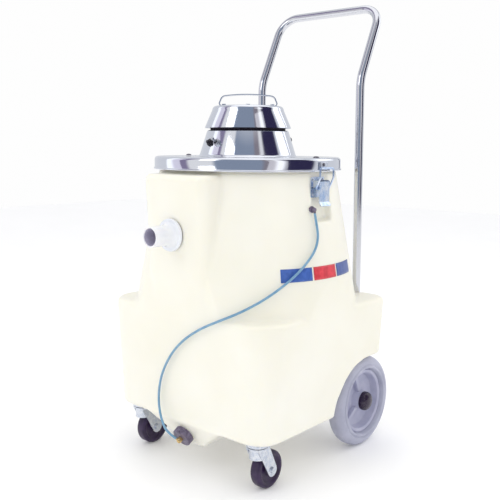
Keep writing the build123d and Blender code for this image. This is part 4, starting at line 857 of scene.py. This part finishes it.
def rear_wheel(side, sign):
    low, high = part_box("tyre_" + side)
    centre = (low + high) / 2
    radius = (high.z - low.z) / 2
    half = (high.x - low.x) / 2
    place = Matrix.Translation(centre) @ Matrix.Rotation(sign * math.pi / 2, 4, "Y")
    rim = hub_rim
    tread = []
    tread += arc((radius - 0.016, 0.004), 0.016, 0.0, 70.0, 8)
    tread += [(rim + 0.013, half - 0.0012), (rim + 0.0105, half - 0.0028)]
    tread += arc((rim + 0.006, half - 0.0036), 0.0036, 30.0, 170.0, 8)
    tread += [(rim, half - 0.009)]
    outline = tread + [(r, -h) for r, h in reversed(tread)]
    tyre = spun("tyre_rubber_" + side, outline, 128, place, 50.0)
    tyre.data.materials.append(grey_tyre)
    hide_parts("tyre_" + side)
    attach(tyre, "wheel_" + side)

    lip = half - 0.0085
    disc = [(rim - 0.0002, lip - 0.002), (rim - 0.0022, lip), (rim - 0.0065, lip)]
    disc += [(rim - 0.009, lip - 0.002), (rim - 0.011, 0.0), (rim - 0.0135, -0.0045)]
    disc += [(rim - 0.018, -0.006), (0.030, -0.006), (0.0235, -0.003)]
    disc += [(0.0195, half - 0.008), (0.017, half - 0.002), (hub_bore, half - 0.002)]
    inner = hub_inner_x - abs(centre.x)
    disc += [(hub_bore, inner), (0.016, inner), (0.018, -0.013), (rim - 0.010, -0.013)]
    disc += [(rim - 0.009, -lip + 0.001), (rim - 0.0065, -lip), (rim - 0.0002, -lip)]
    hub = spun("rough_hub", disc, 128, Matrix.Identity(4), 35.0)
    bm = bmesh.new()
    bm.from_mesh(hub.data)
    bpy.data.objects.remove(hub)
    ribs = bmesh.new()
    for k in range(hub_ribs):
        turn = Matrix.Rotation(math.radians(hub_rib_turn + 360.0 * k / hub_ribs), 4, "Z")
        rib = add_box(ribs, (0.018, -hub_rib_half, -0.012), (rim - 0.006, hub_rib_half, 0.001))
        crest = [v for v in rib if v.co.z > 0 and v.co.x < 0.03]
        bmesh.ops.translate(ribs, vec=(0.0, 0.0, hub_rib_crest), verts=crest)
        bmesh.ops.transform(ribs, matrix=turn, verts=rib)
    bmesh.ops.bevel(ribs, geom=ribs.edges[:], offset=0.0016, segments=3, profile=0.5, affect="EDGES",
                    material=-1)
    rib_mesh = bpy.data.meshes.new("ribs")
    ribs.to_mesh(rib_mesh)
    ribs.free()
    bm.from_mesh(rib_mesh)
    bmesh.ops.transform(bm, matrix=place, verts=bm.verts)
    finish_piece("wheel_hub_" + side, bm, grey_hub, "wheel_" + side, ("hub_" + side,))

    cap_low, cap_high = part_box("hub_cap_" + side)
    wide = (cap_high.z - cap_low.z) / 2
    tall = (cap_high.x - centre.x) if sign > 0 else (centre.x - cap_low.x)
    dome = [(wide, half - 0.008), (wide, half - 0.002), (wide - 0.0006, half)]
    dome += [((wide - 0.001) * math.cos(math.radians(t)), half + (tall - half) * math.sin(math.radians(t)))
             for t in (12, 26, 40, 54, 68, 80)]
    dome += [(0.0, tall), (0.0, half + 0.004), (0.0172, half - 0.001), (0.0172, half - 0.008)]
    cap = spun("wheel_cap_" + side, dome, 64, place, 50.0)
    cap.data.materials.append(hub_black)
    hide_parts("hub_cap_" + side)
    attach(cap, "wheel_" + side)


for side, sign in (("left", -1), ("right", 1)):
    rear_wheel(side, sign)


# ---------------------------------------------------------------- casters
# Pressed and plated forks under a plated top plate, with a dark purple-black tread that
# has a recessed face, and a hexagon bolt for an axle.
def caster_tread():
    material, shader = new_material("caster_tread", (0.020, 0.007, 0.045), 0.40)
    cloud = object_noise(material, 60.0)
    ramp_into(material, cloud, shader.inputs["Base Color"], (0.014, 0.004, 0.034), (0.034, 0.014, 0.066))
    fine = object_noise(material, 420.0, detail=2.0)
    ramp_into(material, fine, shader.inputs["Roughness"], 0.30, 0.52)
    bump_from(material, shader, fine, 0.12, 0.0003)
    return material


dark_tread = caster_tread()
for side in ("left", "right"):
    carry(zinc, "caster_mount_" + side, "caster_fork_" + side, "caster_bolt_" + side)
    low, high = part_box("caster_wheel_" + side)
    radius = (high.z - low.z) / 2
    half = (high.x - low.x) / 2
    face = [(0.0041, half), (0.011, half), (0.0125, half - 0.0012), (0.014, half - 0.004)]
    face += [(0.025, half - 0.004), (0.0265, half - 0.0035), (0.0285, half - 0.0006), (0.030, half)]
    face += arc((radius - 0.006, half - 0.006), 0.006, 90.0, 8.0, 7)
    outline = face + [(r, -h) for r, h in reversed(face)]
    place = Matrix.Translation((low + high) / 2) @ Matrix.Rotation(math.pi / 2, 4, "Y")
    wheel = spun("caster_tread_" + side, outline, 96, place, 40.0)
    wheel.data.materials.append(dark_tread)
    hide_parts("caster_wheel_" + side)
    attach(wheel, "caster_wheel_" + side)


# ---------------------------------------------------------------- push handle
# One length of chromed tube, bent to a bar at the top and leaned back, with its two legs
# in channels at the rear of the body.
def push_handle():
    low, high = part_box("push_handle")
    radius = 0.0095
    leg_x = high.x - radius
    leg_y = low.y + radius
    top_y = high.y - radius
    top_z = high.z - radius
    kink_z = 0.830
    kink_r = 0.090
    corner = 0.048
    kink_steps, corner_steps = 8, 12
    bm = bmesh.new()
    lean = math.atan2(top_y - leg_y, top_z - kink_z)
    slope = Vector((0.0, math.sin(lean), math.cos(lean)))
    tangent = kink_r * math.tan(lean / 2)
    points = [Vector((leg_x, leg_y, low.z)), Vector((leg_x, leg_y, kink_z - tangent))]
    for k in range(1, kink_steps):
        t = lean * k / kink_steps
        points.append(Vector((leg_x, leg_y + kink_r * (1 - math.cos(t)),
                              kink_z - tangent + kink_r * math.sin(t))))
    points.append(Vector((leg_x, leg_y, kink_z)) + slope * tangent)
    bend = Vector((leg_x, top_y, top_z)) - slope * corner
    for k in range(corner_steps + 1):
        t = math.radians(90.0 * k / corner_steps)
        points.append(bend + slope * corner * math.sin(t) - Vector((corner * (1 - math.cos(t)), 0, 0)))
    points += [Vector((-p.x, p.y, p.z)) for p in reversed(points)]
    ring = None
    for k, point in enumerate(points):
        before = points[max(k - 1, 0)]
        after = points[min(k + 1, len(points) - 1)]
        along = (after - before).normalized()
        made = bmesh.ops.create_circle(bm, segments=32, radius=radius)["verts"]
        side_way = Vector((0.0, slope.z, -slope.y)) if abs(along.x) > 0.01 else None
        across = Vector((0.0, along.z, -along.y)).normalized() if side_way is None else side_way
        third = across.cross(along).normalized()
        frame_at = Matrix((third, across, along)).transposed().to_4x4()
        bmesh.ops.transform(bm, matrix=Matrix.Translation(point) @ frame_at, verts=made)
        if ring is not None:
            edges = [e for e in bm.edges if (e.verts[0] in ring) == (e.verts[1] in ring)
                     and (e.verts[0] in ring or e.verts[0] in made)]
            bmesh.ops.bridge_loops(bm, edges=edges)
        else:
            bmesh.ops.contextual_create(bm, geom=list(made))
        ring = set(made)
    bmesh.ops.contextual_create(bm, geom=list(ring))
    chrome = mirror_metal("handle_chrome", (0.66, 0.67, 0.71), 0.10)
    finish_piece("handle_tube", bm, chrome, "tank", ("push_handle",), sharp=50.0)


push_handle()


# ---------------------------------------------------------------- pump bay
# The cover, the hoses and the fan case are seen from behind or with the lid off.
def bay_finishes():
    cover, shader = new_material("brushed_cover", (0.60, 0.61, 0.63), 0.34, 1.0)
    brush = object_noise(cover, 20.0, detail=4.0, stretch=(1.0, 1.0, 40.0))
    ramp_into(cover, brush, shader.inputs["Roughness"], 0.26, 0.46)
    bump_from(cover, shader, brush, 0.08, 0.0002)
    carry(cover, "service_panel")
    hose, shader = new_material("clear_hose", (0.55, 0.70, 0.82), 0.30)
    cloud = object_noise(hose, 90.0)
    ramp_into(hose, cloud, shader.inputs["Base Color"], (0.48, 0.64, 0.78), (0.64, 0.76, 0.86))
    carry(hose, "pump_hoses")
    alloy, shader = new_material("cast_alloy", (0.62, 0.62, 0.63), 0.42, 1.0)
    sand = object_noise(alloy, 500.0)
    ramp_into(alloy, sand, shader.inputs["Roughness"], 0.34, 0.55)
    bump_from(alloy, shader, sand, 0.14, 0.0003)
    carry(alloy, "fan_case")


bay_finishes()
